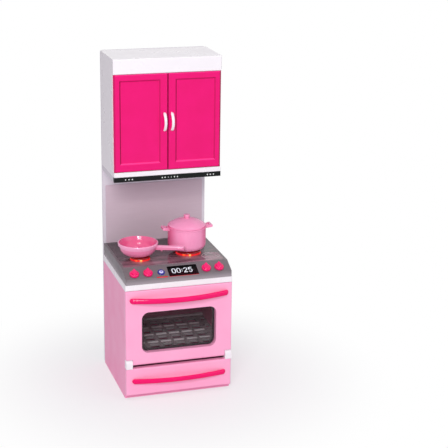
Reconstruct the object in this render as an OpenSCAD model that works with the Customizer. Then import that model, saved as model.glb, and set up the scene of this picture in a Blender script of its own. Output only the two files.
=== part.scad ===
// Toy kitchen unit: an oven range with a lit hob, a splashback and a two-door cupboard above.
// Drawn with X to the right, Y from the oven door's front face to the back, and Z up from the floor.
// The whole unit is then moved along Y, so that its box is centred on the origin.

/* [Unit] */
// Width of the range and of the cupboard
unit_w = 99; // [92:1:120]
// Depth from the oven door's front face to the rear of the back panel
unit_d = 92.4; // [88:0.2:112]
// Wall of the moulded shells
wall = 2; // [1.6:0.1:2.2]
// Thickness of the full-height back panel
back_t = 2.4; // [2:0.1:4]
// Gap around doors and the drawer
front_gap = 0.3; // [0.2:0.05:0.5]

/* [Range front, from the floor up] */
// Height of the drawer front's lower edge above the floor
drawer_foot = 4; // [3:0.5:8]
// Height of the drawer front
drawer_h = 25.9; // [24:0.1:34]
// Open gap between the drawer front and the oven door
hinge_gap = 2.8; // [2:0.1:4]
// Height of the oven door
door_h = 71.6; // [66:0.1:90]
// Thickness of the oven door and of the drawer front
front_t = 5; // [4.2:0.1:6]
// Height of the white worktop trim
trim_h = 5.6; // [4.6:0.1:8]
// Height of the control deck's upright front lip
lip_h = 4.8; // [3:0.1:8]

/* [Control deck] */
// Depth of the sloped control panel
panel_run = 14.5; // [13:0.5:20]
// Rise of the sloped control panel
panel_rise = 6.5; // [4:0.1:7]
// Radius of a knob's round base
knob_r = 4.3; // [3.6:0.1:4.8]
// Height of a knob's pointer above the panel
knob_h = 5.2; // [4:0.1:6]
// Radius of a knob's shaft
knob_shaft_r = 1.5; // [1.2:0.1:2]
// Width of the clock window
clock_w = 27.2; // [20:0.1:30]
// Height of the clock window, up the slope
clock_h = 12.6; // [8:0.1:13]
// Travel of the button
button_travel = 0.8; // [0.5:0.1:1]

/* [Hob] */
// Radius of the left burner cap
burner_left_r = 9; // [7:0.5:11]
// Radius of the right burner cap
burner_right_r = 11.5; // [9:0.5:13]
// Height of the burner caps above the hob
burner_h = 2.9; // [2:0.1:4]

/* [Oven door] */
// Width of the window opening
window_w = 69.4; // [50:0.2:74]
// Height of the window opening
window_h = 38.8; // [26:0.2:44]
// Corner radius of the window opening
window_r = 6.5; // [3:0.5:10]
// Height of the window opening's lower edge above the door's lower edge
window_up = 11.7; // [11:0.1:16]
// Half length of the door's bowed handle
door_handle_l = 45.8; // [36:0.2:46.6]
// How far the door's handle bows out
door_bow = 7.8; // [5:0.1:10]
// Thickness of the door's handle
door_handle_t = 3.2; // [2:0.1:4]

/* [Oven] */
// Depth of the chase for the speaker and the wires, between the oven and the back panel
chase = 7.8; // [7.4:0.1:16]
// Height of the rack's top above the door's lower edge
rack_up = 11.3; // [9:0.1:20]
// Spacing of the rack's slots across the oven
rack_pitch_x = 12.4; // [9:0.1:15]
// Spacing of the rack's slots from front to back
rack_pitch_y = 17.6; // [12:0.1:20]

/* [Drawer] */
// Half length of the drawer's bowed handle
drawer_handle_l = 44; // [34:0.2:46.6]
// How far the drawer's handle bows out
drawer_bow = 5.2; // [4:0.1:10]
// Thickness of the drawer's handle
drawer_handle_t = 2.4; // [1.8:0.1:4]
// Wall of the drawer tray
tray_t = 1.6; // [1.2:0.1:2.4]
// Space left behind the drawer tray, in front of the battery box
tray_clear = 7; // [2:0.5:20]

/* [Tower] */
// Clear height from the hob to the hood
hood_clear = 72.1; // [60:0.1:90]
// Height of the hood strip
hood_h = 4.5; // [3:0.1:8]
// Height of the rail under the cupboard doors
rail_h = 4.45; // [4:0.05:8]
// Height of the cupboard doors
cup_door_h = 87.35; // [70:0.05:110]
// Thickness of the cupboard doors
cup_door_t = 4; // [3.6:0.1:5]
// Height of the cornice above the cupboard doors
cornice_h = 13.5; // [6:0.1:16]
// How far the cupboard's front stands behind the range's front
recess = 39.5; // [20:0.5:44]
// Length of a cupboard door's bow handle
bow_l = 17; // [12:0.5:24]
// How far a bow handle stands out
bow_out = 6.5; // [4:0.1:7]

/* [Cookware] */
// Radius of the pot's wall
pot_r = 17.6; // [14:0.1:18.4]
// Height of the pot's body
pot_h = 21.2; // [16:0.1:30]
// Radius of the pan's rim
pan_r = 18.5; // [14:0.1:19]
// Height of the pan
pan_h = 12.1; // [10:0.1:14]
// Length of the pan's handle outside the rim
pan_handle_l = 24; // [18:0.5:26]
// Turn of the pan's handle from the X axis, in degrees
pan_turn = -20; // [-60:1:-18]
// Wall of the cookware
cook_wall = 1.2; // [1:0.1:1.6]

/* [Hidden] */
$fn = 48;
half_w = unit_w / 2;
// Clearance between parts that only stand beside each other
seat_gap = 0.1;
// Radial clearance of the pins and shafts in their bores
run_gap = 0.07;

// Heights of the range's fronts
drawer_z1 = drawer_foot + drawer_h;
door_z0 = drawer_z1 + hinge_gap;
door_z1 = door_z0 + door_h;
trim_z0 = door_z1 + front_gap;
trim_z1 = trim_z0 + trim_h;
lip_z = trim_z1 + lip_h;
hob_z = lip_z + panel_rise;
panel_a = atan2(panel_rise, panel_run);
panel_l = norm([panel_run, panel_rise]);

// Heights of the tower
hood_z0 = hob_z + hood_clear;
hood_z1 = hood_z0 + hood_h;
rail_z1 = hood_z1 + rail_h;
cup_z0 = rail_z1 + front_gap;
cup_z1 = cup_z0 + cup_door_h;
cornice_z0 = cup_z1 + front_gap;
unit_h = cornice_z0 + cornice_h;

// Width of the control deck, which stands a little inside the trim
deck_half = half_w - 0.5;

// Planes across the depth
back_y = unit_d - back_t;
shell_y = front_t + front_gap;
cup_shell_y = recess + cup_door_t + front_gap;
edge_r = 1.2;

// Hinge of the oven door: the door's lower edge is a round barrel on this axis
hinge_r = front_t / 2;
hinge_y = hinge_r;
hinge_z = door_z0 + hinge_r;
bracket_r = 3.5;
bracket_w = 6;
bracket_x0 = half_w - bracket_w;
bracket_x1 = half_w - 0.1;
bracket_z0 = drawer_z1 + 0.4;
pin_r = 1.5;
pin_l = 3.2;
pin_bore_l = 3.6;

// Partition between the drawer bay and the oven
part_z0 = door_z0 + 1.6;
part_z1 = part_z0 + wall;
part_y1 = back_y - chase;
oven_wall = 1.5;
oven_gap = 0.4;
oven_half = half_w - wall - oven_gap;
oven_y0 = shell_y + 0.3;
oven_y1 = part_y1 + 0.1;
oven_z0 = part_z1 + seat_gap;
oven_z1 = door_z1 - seat_gap;
cavity_half = oven_half - oven_wall;
cavity_z0 = oven_z0 + oven_wall;
cavity_z1 = oven_z1 - oven_wall;

// Rack
rack_z1 = door_z0 + rack_up;
rack_t = 2;
rack_half = cavity_half - 0.3;
rack_y0 = oven_y0 + 1.8;
rack_y1 = oven_y1 - oven_wall - 0.3;
rack_first = 9.6;
rack_slot = [8.4, 7.6];
rack_cols = floor((rack_half - rack_slot.x / 2) / rack_pitch_x + 0.5);
rack_rows = floor((rack_y1 - oven_y0 - rack_first - rack_slot.y / 2 - 3) / rack_pitch_y) + 1;
rack_edge_slot = 4.6;

// Oven door's window and inner frame
window_z0 = door_z0 + window_up;
window_z = window_z0 + window_h / 2;
glass_t = 1.2;
glass_rim = 3;
inner_t = 2;
inner_gap = 0.6;

// Bowed handles: heights at the ends and in the middle, and the share of the thickness behind the curve
door_handle_hs = [5.2, 5];
drawer_handle_hs = [5, 4.6];
bow_handle_hs = [2.9, 2.5];
door_handle_z = door_z1 - 8.6;
drawer_handle_z = drawer_z1 - 11.8;
bar_back = 0.25;
handle_out = door_bow + (1 - bar_back) * door_handle_t;

// Drawer
tray_half = bracket_x0 - 1;
tray_z0 = wall + front_gap;
tray_z1 = drawer_z1 - 5;
guide_t = 1.2;

// Battery box behind the drawer: two small cells, one above and one below the cover's screw post
cell_r = 5.2;
cell_l = 44;
batt_wall = 1.2;
batt_half = cell_l / 2 + 5.5;
batt_z0 = wall + 1;
batt_z1 = part_z0 - 0.3;
batt_mid = (batt_z0 + batt_z1) / 2;
batt_y0 = back_y - 14.6;
batt_post_r = 2.3;
cell_y = back_y - 7.2;
cell_z = [batt_mid - cell_r - batt_post_r - 0.2, batt_mid + cell_r + batt_post_r + 0.2];
hatch_half = batt_half - 1;
hatch_z0 = batt_z0 + 1;
hatch_z1 = batt_z1 - 1;
hatch_gap = 0.25;
hook_xs = [-14, 14];
hook_w = 6;
hook_t = 1.1;

// Control panel, places along X and up the slope
row_s = 0.41 * panel_l;
knob_xs = [9.5 - half_w, 22 - half_w, half_w - 23, half_w - 11];
knob_lift = 0.3;
clock_x = 4.8;
clock_s = 0.434 * panel_l;
clock_t = 1.2;
clock_sink = 0.9;
button_x = -15.4;
button_r = 1.9;
bezel_r = 3.3;
bezel_h = 1;
button_flange_r = 2.8;
button_flange_t = 0.8;
button_stem = 2;
switch_h = 3.1;
switch_drop = button_stem + button_travel + 0.1;
board_post = 4.8;

// Hob
hob_plate_t = 1.1;
hob_plate_up = 0.1;
hob_plate_half = deck_half - 2.4;
hob_y0 = panel_run + 2;
hob_y1 = back_y - 3.4;
hob_mid = (hob_y0 + hob_y1) / 2;
left_burner = [-27, hob_mid - 14.7];
right_burner = [20.3, hob_mid - 8.2];
dead_burners = [[37.5, hob_mid - 22, 8], [-14, hob_mid + 18.5, 8.5]];
burner_flange = 1.5;
burner_gap = 0.15;
cap_wall = 1.2;

// Circuit board under the hob
main_board = [-37, 37, hob_mid - 32, hob_mid + 17.5];
main_board_z1 = trim_z0 + 3.3;
main_board_t = 1.2;
// How far the board's screws stand in from its edges
main_board_post = 3.2;
board_screw_r = 0.8;
lamp_r = 1.5;
lamp_h = 4.4;
lamp_z = hob_z - 5.2;
lamp_turns = [-125, -55, 90];

// Speaker in the rear chase
speaker_r = 14;
speaker_z = 70;
speaker_t = 4.8;
magnet_r = 8;
magnet_t = 2;

// Screws and the bosses that take them
screw_r = 1.1;
screw_head_r = 2.4;
screw_head_t = 1.2;
screw_l = 7;
boss_r = 2.9;
boss_l = 7.4;
boss_x = half_w - wall - boss_r + 0.2;
screw_zs = [12, 95, rail_z1 + 7, cornice_z0 - 8];

// Cupboard
cup_hinge_r = cup_door_t / 2;
cup_edge = 0.3;
cup_hinge_x = half_w - cup_edge - cup_hinge_r;
cup_hinge_y = recess + cup_hinge_r;
cup_pin_r = 1.2;
cup_pin_l = 2;
seam = 0.5;
stile_in = 6.6;
stile_out = 5.2;
rail_low = 6.6;
rail_top = 5.2;
relief = 1;
relief_bevel = 1.2;
liner_gap = 0.3;
liner_half = half_w - wall - liner_gap;
liner_y0 = cup_shell_y + 1.9;
liner_y1 = back_y - 8;
liner_z0 = rail_z1 + liner_gap;
liner_z1 = cornice_z0 - liner_gap;
liner_t = 1.2;
frame_rim = 3.2;
frame_y0 = cup_shell_y + 0.3;
board_t = 2.4;
shelf_z = (liner_z0 + liner_z1) / 2;
shelf_half = liner_half - liner_t - 0.15;
lap_gap = 0.1;
bow_x = 3.4;
bow_t = 1.7;

// Splashback sheet
splash_t = 0.8;
splash_side = 2.8;
splash_z0 = hob_z + 0.3;
splash_z1 = hood_z0 - 15.6;

// Cookware seats
cook_z = hob_z + burner_h + 0.2;
pot_at = right_burner + [0, 5.2];
pan_at = left_burner + [-1, 3.7];
rim_out = 0.5;
lid_gap = 0.2;
lid_h = 6.2;
lid_knob_r = 2.85;
ear_z = pot_h - 1.6;

// The unit's box is centred on the origin
origin_y = (handle_out - unit_d) / 2;

// General shapes

// Box from corner a to corner b
module span(a, b) {
    translate(a) cube(b - a);
}

// Flat outline (x, z) standing upright from depth y0 to y1
module stand(y0, y1) {
    translate([0, y1, 0]) rotate([90, 0, 0]) linear_extrude(y1 - y0) children();
}

// Side profile (y, z) run along X from x0 to x1
module along_x(x0, x1) {
    translate([x0, 0, 0]) rotate([90, 0, 90]) linear_extrude(x1 - x0) children();
}

// Plan outline (x, y) raised from z0 to z1
module along_z(z0, z1) {
    translate([0, 0, z0]) linear_extrude(z1 - z0) children();
}

// Rectangle about its centre with rounded corners
module round_rect(w, h, r) {
    square([w - 2 * r, h], center = true);
    square([w, h - 2 * r], center = true);
    for (x = [-1, 1], y = [-1, 1])
        translate([x * (w / 2 - r), y * (h / 2 - r)]) circle(r);
}

// Rectangle a0 to a1 by b0 to b1 with its two corners at a0 rounded
module soft_left(a0, a1, b0, b1, r) {
    translate([a0 + r, b0]) square([a1 - a0 - r, b1 - b0]);
    translate([a0, b0 + r]) square([r, b1 - b0 - 2 * r]);
    for (b = [b0 + r, b1 - r])
        translate([a0 + r, b]) circle(r);
}

// The same with the two corners at b0 rounded
module soft_low(a0, a1, b0, b1, r) {
    mirror([1, -1, 0]) soft_left(b0, b1, a0, a1, r);
}

// Plate that faces the front, its front edges rounded
module front_plate(lo, hi, r) {
    intersection() {
        along_x(lo.x, hi.x) soft_left(lo.y, hi.y, lo.z, hi.z, r);
        along_z(lo.z, hi.z) soft_low(lo.x, hi.x, lo.y, hi.y, r);
    }
}

function unit(v) = v / norm(v);

// Arc of radius r, as n + 1 points, that rounds corner b between a and c
function round_corner(a, b, c, r, n = 8) =
    let (u = unit(a - b), v = unit(c - b), half = acos(u * v) / 2)
    let (m = b + unit(u + v) * (r / sin(half)), p = b + u * (r / tan(half)), q = b + v * (r / tan(half)))
    let (a0 = atan2(p.y - m.y, p.x - m.x), a1 = atan2(q.y - m.y, q.x - m.x))
    let (sweep = (a1 - a0 + 540) % 360 - 180)
    [for (i = [0:n]) m + r * [cos(a0 + sweep * i / n), sin(a0 + sweep * i / n)]];

// Places its children on the control panel, at x and at s up the slope, with Z out of the panel
module on_panel(x, s) {
    translate([x, 0, lip_z]) rotate([panel_a, 0, 0]) translate([0, s, 0]) children();
}

// Mirrors a right-hand piece to the left where side is -1
module sided(side) {
    mirror([side < 0 ? 1 : 0, 0, 0]) children();
}

// Smooth bar along X that bows out from the plane y = 0: l is its half length, hs its heights at the ends and
// in the middle, bow how far its curve stands out and t its thickness. Its round ends lie flat on the plane.
module bowed_bar(l, hs, bow, t) {
    sides = 16;
    end_r = hs[0] / 2;
    body_l = l - end_r;
    // Stations from left to right: the place along the bar, and how full the section is there
    right = concat([for (i = [1:9]) [body_l * i / 10, 1]],
        [for (i = [0:5]) [body_l + end_r * sin(15 * i), cos(15 * i)]]);
    left = [for (i = [len(right) - 1:-1:0]) [-right[i][0], right[i][1]]];
    stations = concat(left, [[0, 1]], right);
    // Oval section at a station, cut off at the plane
    ring = function (x, full)
        let (u = x / l, out = bow * (1 - u * u), thick = t * full * norm([1, 2 * bow * u / l]))
        let (mid = -out - (0.5 - bar_back) * thick, h = full * (hs[1] + (hs[0] - hs[1]) * u * u) / 2)
        [for (k = [0:sides - 1], a = 360 * k / sides) [x, min(0, mid - thick / 2 * cos(a)), h * sin(a)]];
    last = len(stations) - 1;
    tip = (last + 1) * sides;
    points = concat([for (s = stations) each ring(s[0], s[1])], [[-l, 0, 0], [l, 0, 0]]);
    at = function (i, k) i * sides + k % sides;
    skin = [for (i = [0:last - 1], k = [0:sides - 1])
        each [[at(i, k), at(i, k + 1), at(i + 1, k + 1)], [at(i, k), at(i + 1, k + 1), at(i + 1, k)]]];
    ends = [for (k = [0:sides - 1])
        each [[tip, at(0, k + 1), at(0, k)], [tip + 1, at(last, k), at(last, k + 1)]]];
    polyhedron(points = points, faces = concat(skin, ends), convexity = 4);
}

// Tube through the points of a route, with a slightly thicker ball at each bend
module route(points, r) {
    for (i = [0:len(points) - 2]) {
        v = points[i + 1] - points[i];
        translate(points[i]) rotate([0, acos(v.z / norm(v)), atan2(v.y, v.x)])
            cylinder(r = r, h = norm(v), $fn = 16);
    }
    for (i = [1:len(points) - 2])
        translate(points[i]) sphere(1.2 * r, $fn = 16);
}

// Cross-head screw along Z, its head's top at the origin
module screw() {
    difference() {
        translate([0, 0, -screw_head_t]) cylinder(r = screw_head_r, h = screw_head_t);
        for (a = [0, 90]) rotate(a) cube([2.8, 0.6, 1.2], center = true);
    }
    translate([0, 0, -screw_l]) cylinder(r = screw_r, h = screw_l - screw_head_t + 0.1);
}

// Places its children at the main board's four screws
module at_board_screws() {
    for (x = [main_board[0] + main_board_post, main_board[1] - main_board_post],
         y = [main_board[2] + main_board_post, main_board[3] - main_board_post])
        translate([x, y, main_board_z1]) children();
}

// Range body

module range_shell() {
    color("#f6a3c8") {
        for (side = [-1, 1]) sided(side) {
            span([half_w - wall, shell_y, 0], [half_w, back_y, trim_z0]);
            // Rib that guides the drawer tray
            span([tray_half + 0.4, shell_y + 3, wall - 0.5],
                [tray_half + 0.4 + guide_t, batt_y0 - 3, wall + 6]);
            // Bosses for the rear screws
            for (z = [screw_zs[0], screw_zs[1]]) screw_boss(z);
        }
        span([-half_w + 1, shell_y, 0], [half_w - 1, back_y, wall]);
        // Partition over the drawer bay, with the chase for the wires left open behind it
        span([-half_w + 1, shell_y, part_z0], [half_w - 1, part_y1, part_z1]);
    }
}

// Boss on the inner side of a side wall, open to the back for a screw
module screw_boss(z) {
    difference() {
        union() {
            translate([boss_x, back_y, z]) rotate([90, 0, 0]) cylinder(r = boss_r, h = boss_l);
            span([boss_x, back_y - boss_l, z - boss_r], [half_w - wall / 2, back_y, z + boss_r]);
        }
        translate([boss_x, back_y + 1, z]) rotate([90, 0, 0]) cylinder(r = screw_r + 0.05, h = screw_l + 1);
    }
}

module oven_box() {
    color("#f09abf") {
        difference() {
            span([-oven_half, oven_y0, oven_z0], [oven_half, oven_y1, oven_z1]);
            span([-cavity_half, oven_y0 - 1, cavity_z0], [cavity_half, oven_y1 - oven_wall, cavity_z1]);
        }
        // Ledges that carry the rack
        for (side = [-1, 1]) sided(side)
            span([cavity_half - 1.5, rack_y0, cavity_z0],
                [cavity_half + 0.5, rack_y1, rack_z1 - rack_t - seat_gap]);
    }
}

// Moulded rack: a grid of slots, with a raised bar between each slot and the next one behind it
module oven_rack() {
    slot_x = function (k) rack_pitch_x * (k - 0.5);
    slot_y = function (k) oven_y0 + rack_first + rack_pitch_y * k;
    bar_r = 2.3;
    bar_rise = 0.9;
    color("#8d8a90") {
        difference() {
            span([-rack_half, rack_y0, rack_z1 - rack_t], [rack_half, rack_y1, rack_z1]);
            for (row = [0:rack_rows - 1], side = [-1, 1]) {
                for (col = [1:rack_cols])
                    translate([side * slot_x(col), slot_y(row), rack_z1 - rack_t / 2])
                        cube([rack_slot.x, rack_slot.y, rack_t * 2], center = true);
                translate([side * (rack_half - rack_edge_slot / 2 - 1.2), slot_y(row), rack_z1 - rack_t / 2])
                    cube([rack_edge_slot - 1.2, rack_slot.y, rack_t * 2], center = true);
            }
        }
        // Half-round bars, sunk so that only their crowns stand above the plate
        for (row = [0:rack_rows - 2], side = [-1, 1], col = [1:rack_cols])
            translate([side * slot_x(col) - rack_slot.x / 2 - 0.6, slot_y(row) + rack_pitch_y / 2, rack_z1])
                intersection() {
                    translate([0, 0, bar_rise - bar_r]) rotate([0, 90, 0])
                        cylinder(r = bar_r, h = rack_slot.x + 1.2, $fn = 24);
                    translate([-1, -bar_r, -rack_t / 2]) cube([rack_slot.x + 4, 2 * bar_r, rack_t]);
                }
        // Rear rail
        span([-rack_half, rack_y1 - 2.4, rack_z1 - 0.5], [rack_half, rack_y1, rack_z1 + 2]);
    }
}

// Corner block that holds one of the oven door's pins
module hinge_bracket(side) {
    color("white") sided(side) difference() {
        union() {
            along_x(bracket_x0, bracket_x1) intersection() {
                union() {
                    translate([hinge_y, hinge_z]) circle(bracket_r);
                    translate([hinge_y - bracket_r, bracket_z0])
                        square([2 * bracket_r, hinge_z - bracket_z0]);
                }
                translate([-2, 0]) square([2 + front_t + 0.2, trim_z0]);
            }
            // Tongue that clips under the partition
            span([bracket_x0 + 1, front_t, bracket_z0],
                [half_w - wall - 0.2, shell_y + 8, part_z0 - seat_gap]);
        }
        translate([bracket_x0 - 1, hinge_y, hinge_z]) rotate([0, 90, 0])
            cylinder(r = pin_r + run_gap, h = pin_bore_l + 1);
    }
}

module worktop_trim() {
    trim_wall = 3;
    trim_front = 5;
    color("white") difference() {
        front_plate([-half_w, 0, trim_z0], [half_w, back_y, trim_z1], 0.8);
        span([-half_w + trim_wall, trim_front, trim_z0 - 1],
            [half_w - trim_wall, back_y - trim_wall, trim_z1 + 1]);
    }
}

// Control deck

// Inner corner points of the deck's wall along the slope
deck_in_lip = lip_z - wall * (1 - sin(panel_a)) / cos(panel_a);
deck_in_run = ((panel_rise - wall) * cos(panel_a) + wall) / sin(panel_a);

module deck_skin() {
    a = [0, trim_z1];
    b = [0, lip_z];
    c = [panel_run, hob_z];
    d = [back_y, hob_z];
    difference() {
        intersection() {
            along_x(-deck_half, deck_half)
                polygon(concat([a], round_corner(a, b, c, 0.8), round_corner(b, c, d, 3),
                    [d, [back_y, trim_z1]]));
            along_z(trim_z1 - 1, hob_z + 1) soft_low(-deck_half, deck_half, 0, back_y, 1);
        }
        along_x(-deck_half + wall, deck_half - wall)
            polygon([[wall, trim_z1 - 1], [wall, deck_in_lip], [deck_in_run, hob_z - wall],
                [back_y - wall, hob_z - wall], [back_y - wall, trim_z1 - 1]]);
    }
}

module control_deck() {
    color("#8b8b8d") difference() {
        union() {
            deck_skin();
            // Posts for the main board
            at_board_screws() cylinder(r = 2.4, h = hob_z - wall / 2 - main_board_z1);
            // Posts for the button's switch board
            for (x = [-board_post, board_post])
                on_panel(button_x + x, row_s) translate([0, 0, -wall - switch_drop - switch_h])
                    cylinder(r = 1.1, h = wall / 2 + switch_drop + switch_h);
        }
        for (x = knob_xs)
            on_panel(x, row_s) translate([0, 0, -wall - 3])
                cylinder(r = knob_shaft_r + run_gap, h = wall + 6);
        on_panel(button_x, row_s) translate([0, 0, -wall - 1]) cylinder(r = button_r + 0.15, h = wall + 3);
        on_panel(clock_x, clock_s) translate([0, 0, 1 - clock_sink])
            cube([clock_w + 0.2, clock_h + 0.2, 2], center = true);
        translate([0, hob_mid, hob_z - hob_plate_t + hob_plate_up]) linear_extrude(3)
            round_rect(2 * hob_plate_half + 0.2, hob_y1 - hob_y0 + 0.2, 2.1);
        burner_holes(wall + 1);
        at_board_screws() translate([0, 0, -1]) cylinder(r = board_screw_r + 0.05, h = 6);
    }
}

// Holes for the two burner caps, from a depth below the hob to above it
module burner_holes(deep) {
    for (b = [[left_burner, burner_left_r], [right_burner, burner_right_r]])
        translate([b[0].x, b[0].y, hob_z - deep]) cylinder(r = b[1] + burner_gap, h = deep + 3);
}

// Smoked plate, with a low moulded ring where the two unlit burners are
module hob_plate() {
    color("#2b2a30") difference() {
        union() {
            translate([0, hob_mid, hob_z - hob_plate_t + hob_plate_up])
                linear_extrude(hob_plate_t) round_rect(2 * hob_plate_half, hob_y1 - hob_y0, 2);
            for (b = dead_burners) translate([b[0], b[1], hob_z + hob_plate_up - 0.3])
                for (r = [b[2], b[2] - 3]) rotate_extrude() translate([r, 0]) circle(0.7, $fn = 16);
        }
        burner_holes(wall + 1);
    }
}

// Translucent cap over a burner's lamps: pushed up from below until its flange meets the deck
module burner_cap(at, r) {
    z0 = -wall - cap_wall;
    color("#ff2a1a") translate([at.x, at.y, hob_z]) rotate_extrude() {
        difference() {
            translate([0, z0]) square([r - 0.6, burner_h - z0]);
            translate([-1, z0 - 1]) square([r - cap_wall + 1, burner_h - cap_wall - z0 + 1]);
        }
        translate([r - cap_wall, z0]) square([cap_wall, burner_h - 0.6 - z0]);
        translate([r - 0.6, burner_h - 0.6]) circle(0.6, $fn = 24);
        translate([r - cap_wall, z0]) square([cap_wall + burner_flange, cap_wall]);
    }
}

module clock_window() {
    color("#0c0d0f") on_panel(clock_x, clock_s) translate([0, 0, -clock_sink])
        linear_extrude(clock_t) round_rect(clock_w, clock_h, 0.6);
}

module button_bezel() {
    color("#2a2e9a") on_panel(button_x, row_s) rotate_extrude() {
        translate([button_r + 0.15, 0]) square([bezel_r - 0.5 - button_r - 0.15, bezel_h]);
        translate([bezel_r - 0.5, 0]) square([0.5, bezel_h - 0.5]);
        translate([bezel_r - 0.5, bezel_h - 0.5]) circle(0.5, $fn = 24);
    }
}

// Button cap: the flange keeps it in, and the stem presses the switch below
module push_button() {
    color("#e6e2ff") on_panel(button_x, row_s) rotate_extrude() {
        translate([0, -wall - 0.1]) square([button_r, wall + 0.1 + bezel_h]);
        intersection() {
            translate([0, bezel_h + 0.5 - 4]) circle(4, $fn = 64);
            translate([0, bezel_h - 0.2]) square([button_r, 2]);
        }
        translate([0, -wall - 0.1 - button_flange_t]) square([button_flange_r, button_flange_t]);
        translate([0, -wall - button_stem]) square([1, button_stem]);
    }
}

// Turning knob: a round base, a drop-shaped grip that rises to its tip, and a shaft with a snap end
module knob(x) {
    color("#f5107a") on_panel(x, row_s) {
        rotate_extrude() {
            translate([0, knob_lift]) square([knob_r - 1, 2]);
            translate([0, knob_lift]) square([knob_r, 1]);
            translate([knob_r - 1, knob_lift + 1]) circle(1, $fn = 32);
        }
        hull() {
            translate([0, 0.2, knob_lift + 1]) cylinder(r = knob_r - 1.5, h = 1.5, $fn = 32);
            translate([0, -knob_r + 1.6, knob_lift + 2.1]) sphere(0.6, $fn = 16);
            translate([0, knob_r - 1.9, knob_h - 0.6]) sphere(0.6, $fn = 16);
        }
        translate([0, 0, -wall - 1.8]) cylinder(r = knob_shaft_r, h = wall + 1.8 + knob_lift + 1);
        translate([0, 0, -wall - 1.8]) cylinder(r1 = knob_shaft_r, r2 = knob_shaft_r + 0.5, h = 1.6);
    }
}

// Electrics

module circuit_board() {
    low = [main_board[0], main_board[2], main_board_z1 - main_board_t];
    color("#2f6b3a") {
        difference() {
            span(low, [main_board[1], main_board[3], main_board_z1]);
            at_board_screws() translate([0, 0, -main_board_t - 1]) cylinder(r = 1, h = main_board_t + 2);
        }
        // Sound chip under its drop of resin, and a capacitor
        translate([-2, 30, main_board_z1 - 0.2]) rotate_extrude() intersection() {
            translate([0, -8]) circle(10, $fn = 64);
            square([6, 2.2]);
        }
        translate([8, 27, main_board_z1 - 0.2]) cylinder(r = 2, h = 5.2);
    }
}

module board_screws() {
    color("silver") at_board_screws() translate([0, 0, -main_board_t]) {
        translate([0, 0, -1]) cylinder(r = 1.8, h = 1);
        translate([0, 0, -0.5]) cylinder(r = board_screw_r, h = 5.5);
    }
}

// Small board with the push switch, held parallel to the control panel
module button_switch() {
    top = -wall - switch_drop;
    color("#c9a46a") on_panel(button_x, row_s) {
        translate([0, 0, top - switch_h - 0.6]) cube([12.4, 8, 1.2], center = true);
        translate([0, 0, top - switch_h + 1.2]) cube([4.4, 4.4, 2.41], center = true);
        translate([0, 0, top - 1.2]) cylinder(r = 0.9, h = 1.2);
    }
}

// Three lamps under each burner cap, standing on their legs
module burner_lamps() {
    module lamp() {
        translate([0, 0, lamp_z]) cylinder(r = lamp_r, h = lamp_h - lamp_r);
        translate([0, 0, lamp_z + lamp_h - lamp_r]) sphere(lamp_r);
        for (x = [-0.7, 0.7])
            translate([x, 0, main_board_z1]) cylinder(r = 0.3, h = lamp_z - main_board_z1 + 0.2, $fn = 16);
    }
    color("#fff3c0")
        for (b = [[left_burner, burner_left_r], [right_burner, burner_right_r]], a = lamp_turns)
            translate([b[0].x + (b[1] - 4) * cos(a), b[0].y + (b[1] - 4) * sin(a), 0]) lamp();
}

module speaker() {
    color("#3a3a3e") translate([0, back_y, speaker_z]) rotate([90, 0, 0]) {
        difference() {
            translate([0, 0, seat_gap]) cylinder(r = speaker_r, h = speaker_t - seat_gap);
            // Cone, open towards the speaker holes
            translate([0, 0, -1]) cylinder(r1 = speaker_r - 1.5, r2 = 4, h = 4);
        }
        translate([0, 0, speaker_t - 0.1]) cylinder(r = magnet_r, h = magnet_t + 0.1);
    }
}

// Leads up the rear chase, from the battery box and from the speaker, to the main board
module wires() {
    chase_y = back_y - 4.4;
    lead_z = main_board_z1 + 2.2;
    board_y = main_board[3] - 3;
    color("#c02020") for (k = [0, 1]) {
        x = batt_half + 1.9 + 1.8 * k;
        y = chase_y - 4 * k;
        route([[batt_half + 0.1, y, cell_z[k]], [x, y, cell_z[k]], [x, y + 2 * k, part_z1 + 1],
            [x, chase_y, lead_z], [x - 2, board_y, lead_z], [x - 2, board_y, main_board_z1]], 0.6);
    }
    color("#202020") for (k = [0, 1]) {
        x = 8 + 3 * k;
        speaker_top = speaker_z + sqrt(speaker_r * speaker_r - x * x);
        route([[x, chase_y, speaker_top + 0.5], [x, chase_y, lead_z], [x, board_y, lead_z],
            [x, board_y, main_board_z1]], 0.6);
    }
}

module battery_box() {
    in_half = batt_half - batt_wall;
    color("#2c2c30") difference() {
        union() {
            difference() {
                span([-batt_half, batt_y0, batt_z0], [batt_half, back_y, batt_z1]);
                span([-in_half, batt_y0 + batt_wall, batt_z0 + batt_wall],
                    [in_half, back_y + 1, batt_z1 - batt_wall]);
            }
            // Cradles under the cells
            for (x = [-12, 12]) difference() {
                span([x - 0.8, batt_y0 + 0.5, batt_z0 + 0.5], [x + 0.8, cell_y - 1, batt_z1 - 0.5]);
                for (z = cell_z)
                    translate([x - 2, cell_y, z]) rotate([0, 90, 0]) cylinder(r = cell_r + 0.15, h = 4);
            }
            // Post for the cover's screw
            translate([0, back_y, batt_mid]) rotate([90, 0, 0])
                cylinder(r = batt_post_r, h = back_y - batt_y0 - 0.5);
        }
        translate([0, back_y + 1, batt_mid]) rotate([90, 0, 0]) cylinder(r = screw_r + 0.05, h = screw_l + 1);
        // Notches for the cover's hooks
        for (x = hook_xs)
            span([x - hook_w / 2 - 0.3, back_y - hook_t - 0.4, batt_z0 - 0.1],
                [x + hook_w / 2 + 0.3, back_y + 1, batt_z0 + batt_wall + 0.1]);
    }
}

module batteries() {
    color("#3f6fb0")
        for (k = [0, 1]) translate([0, cell_y, cell_z[k]]) rotate([0, k == 0 ? 90 : -90, 0]) {
            translate([0, 0, -cell_l / 2]) cylinder(r = cell_r, h = cell_l - 1);
            translate([0, 0, cell_l / 2 - 1.1]) cylinder(r = 1.9, h = 1.1);
        }
}

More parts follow.
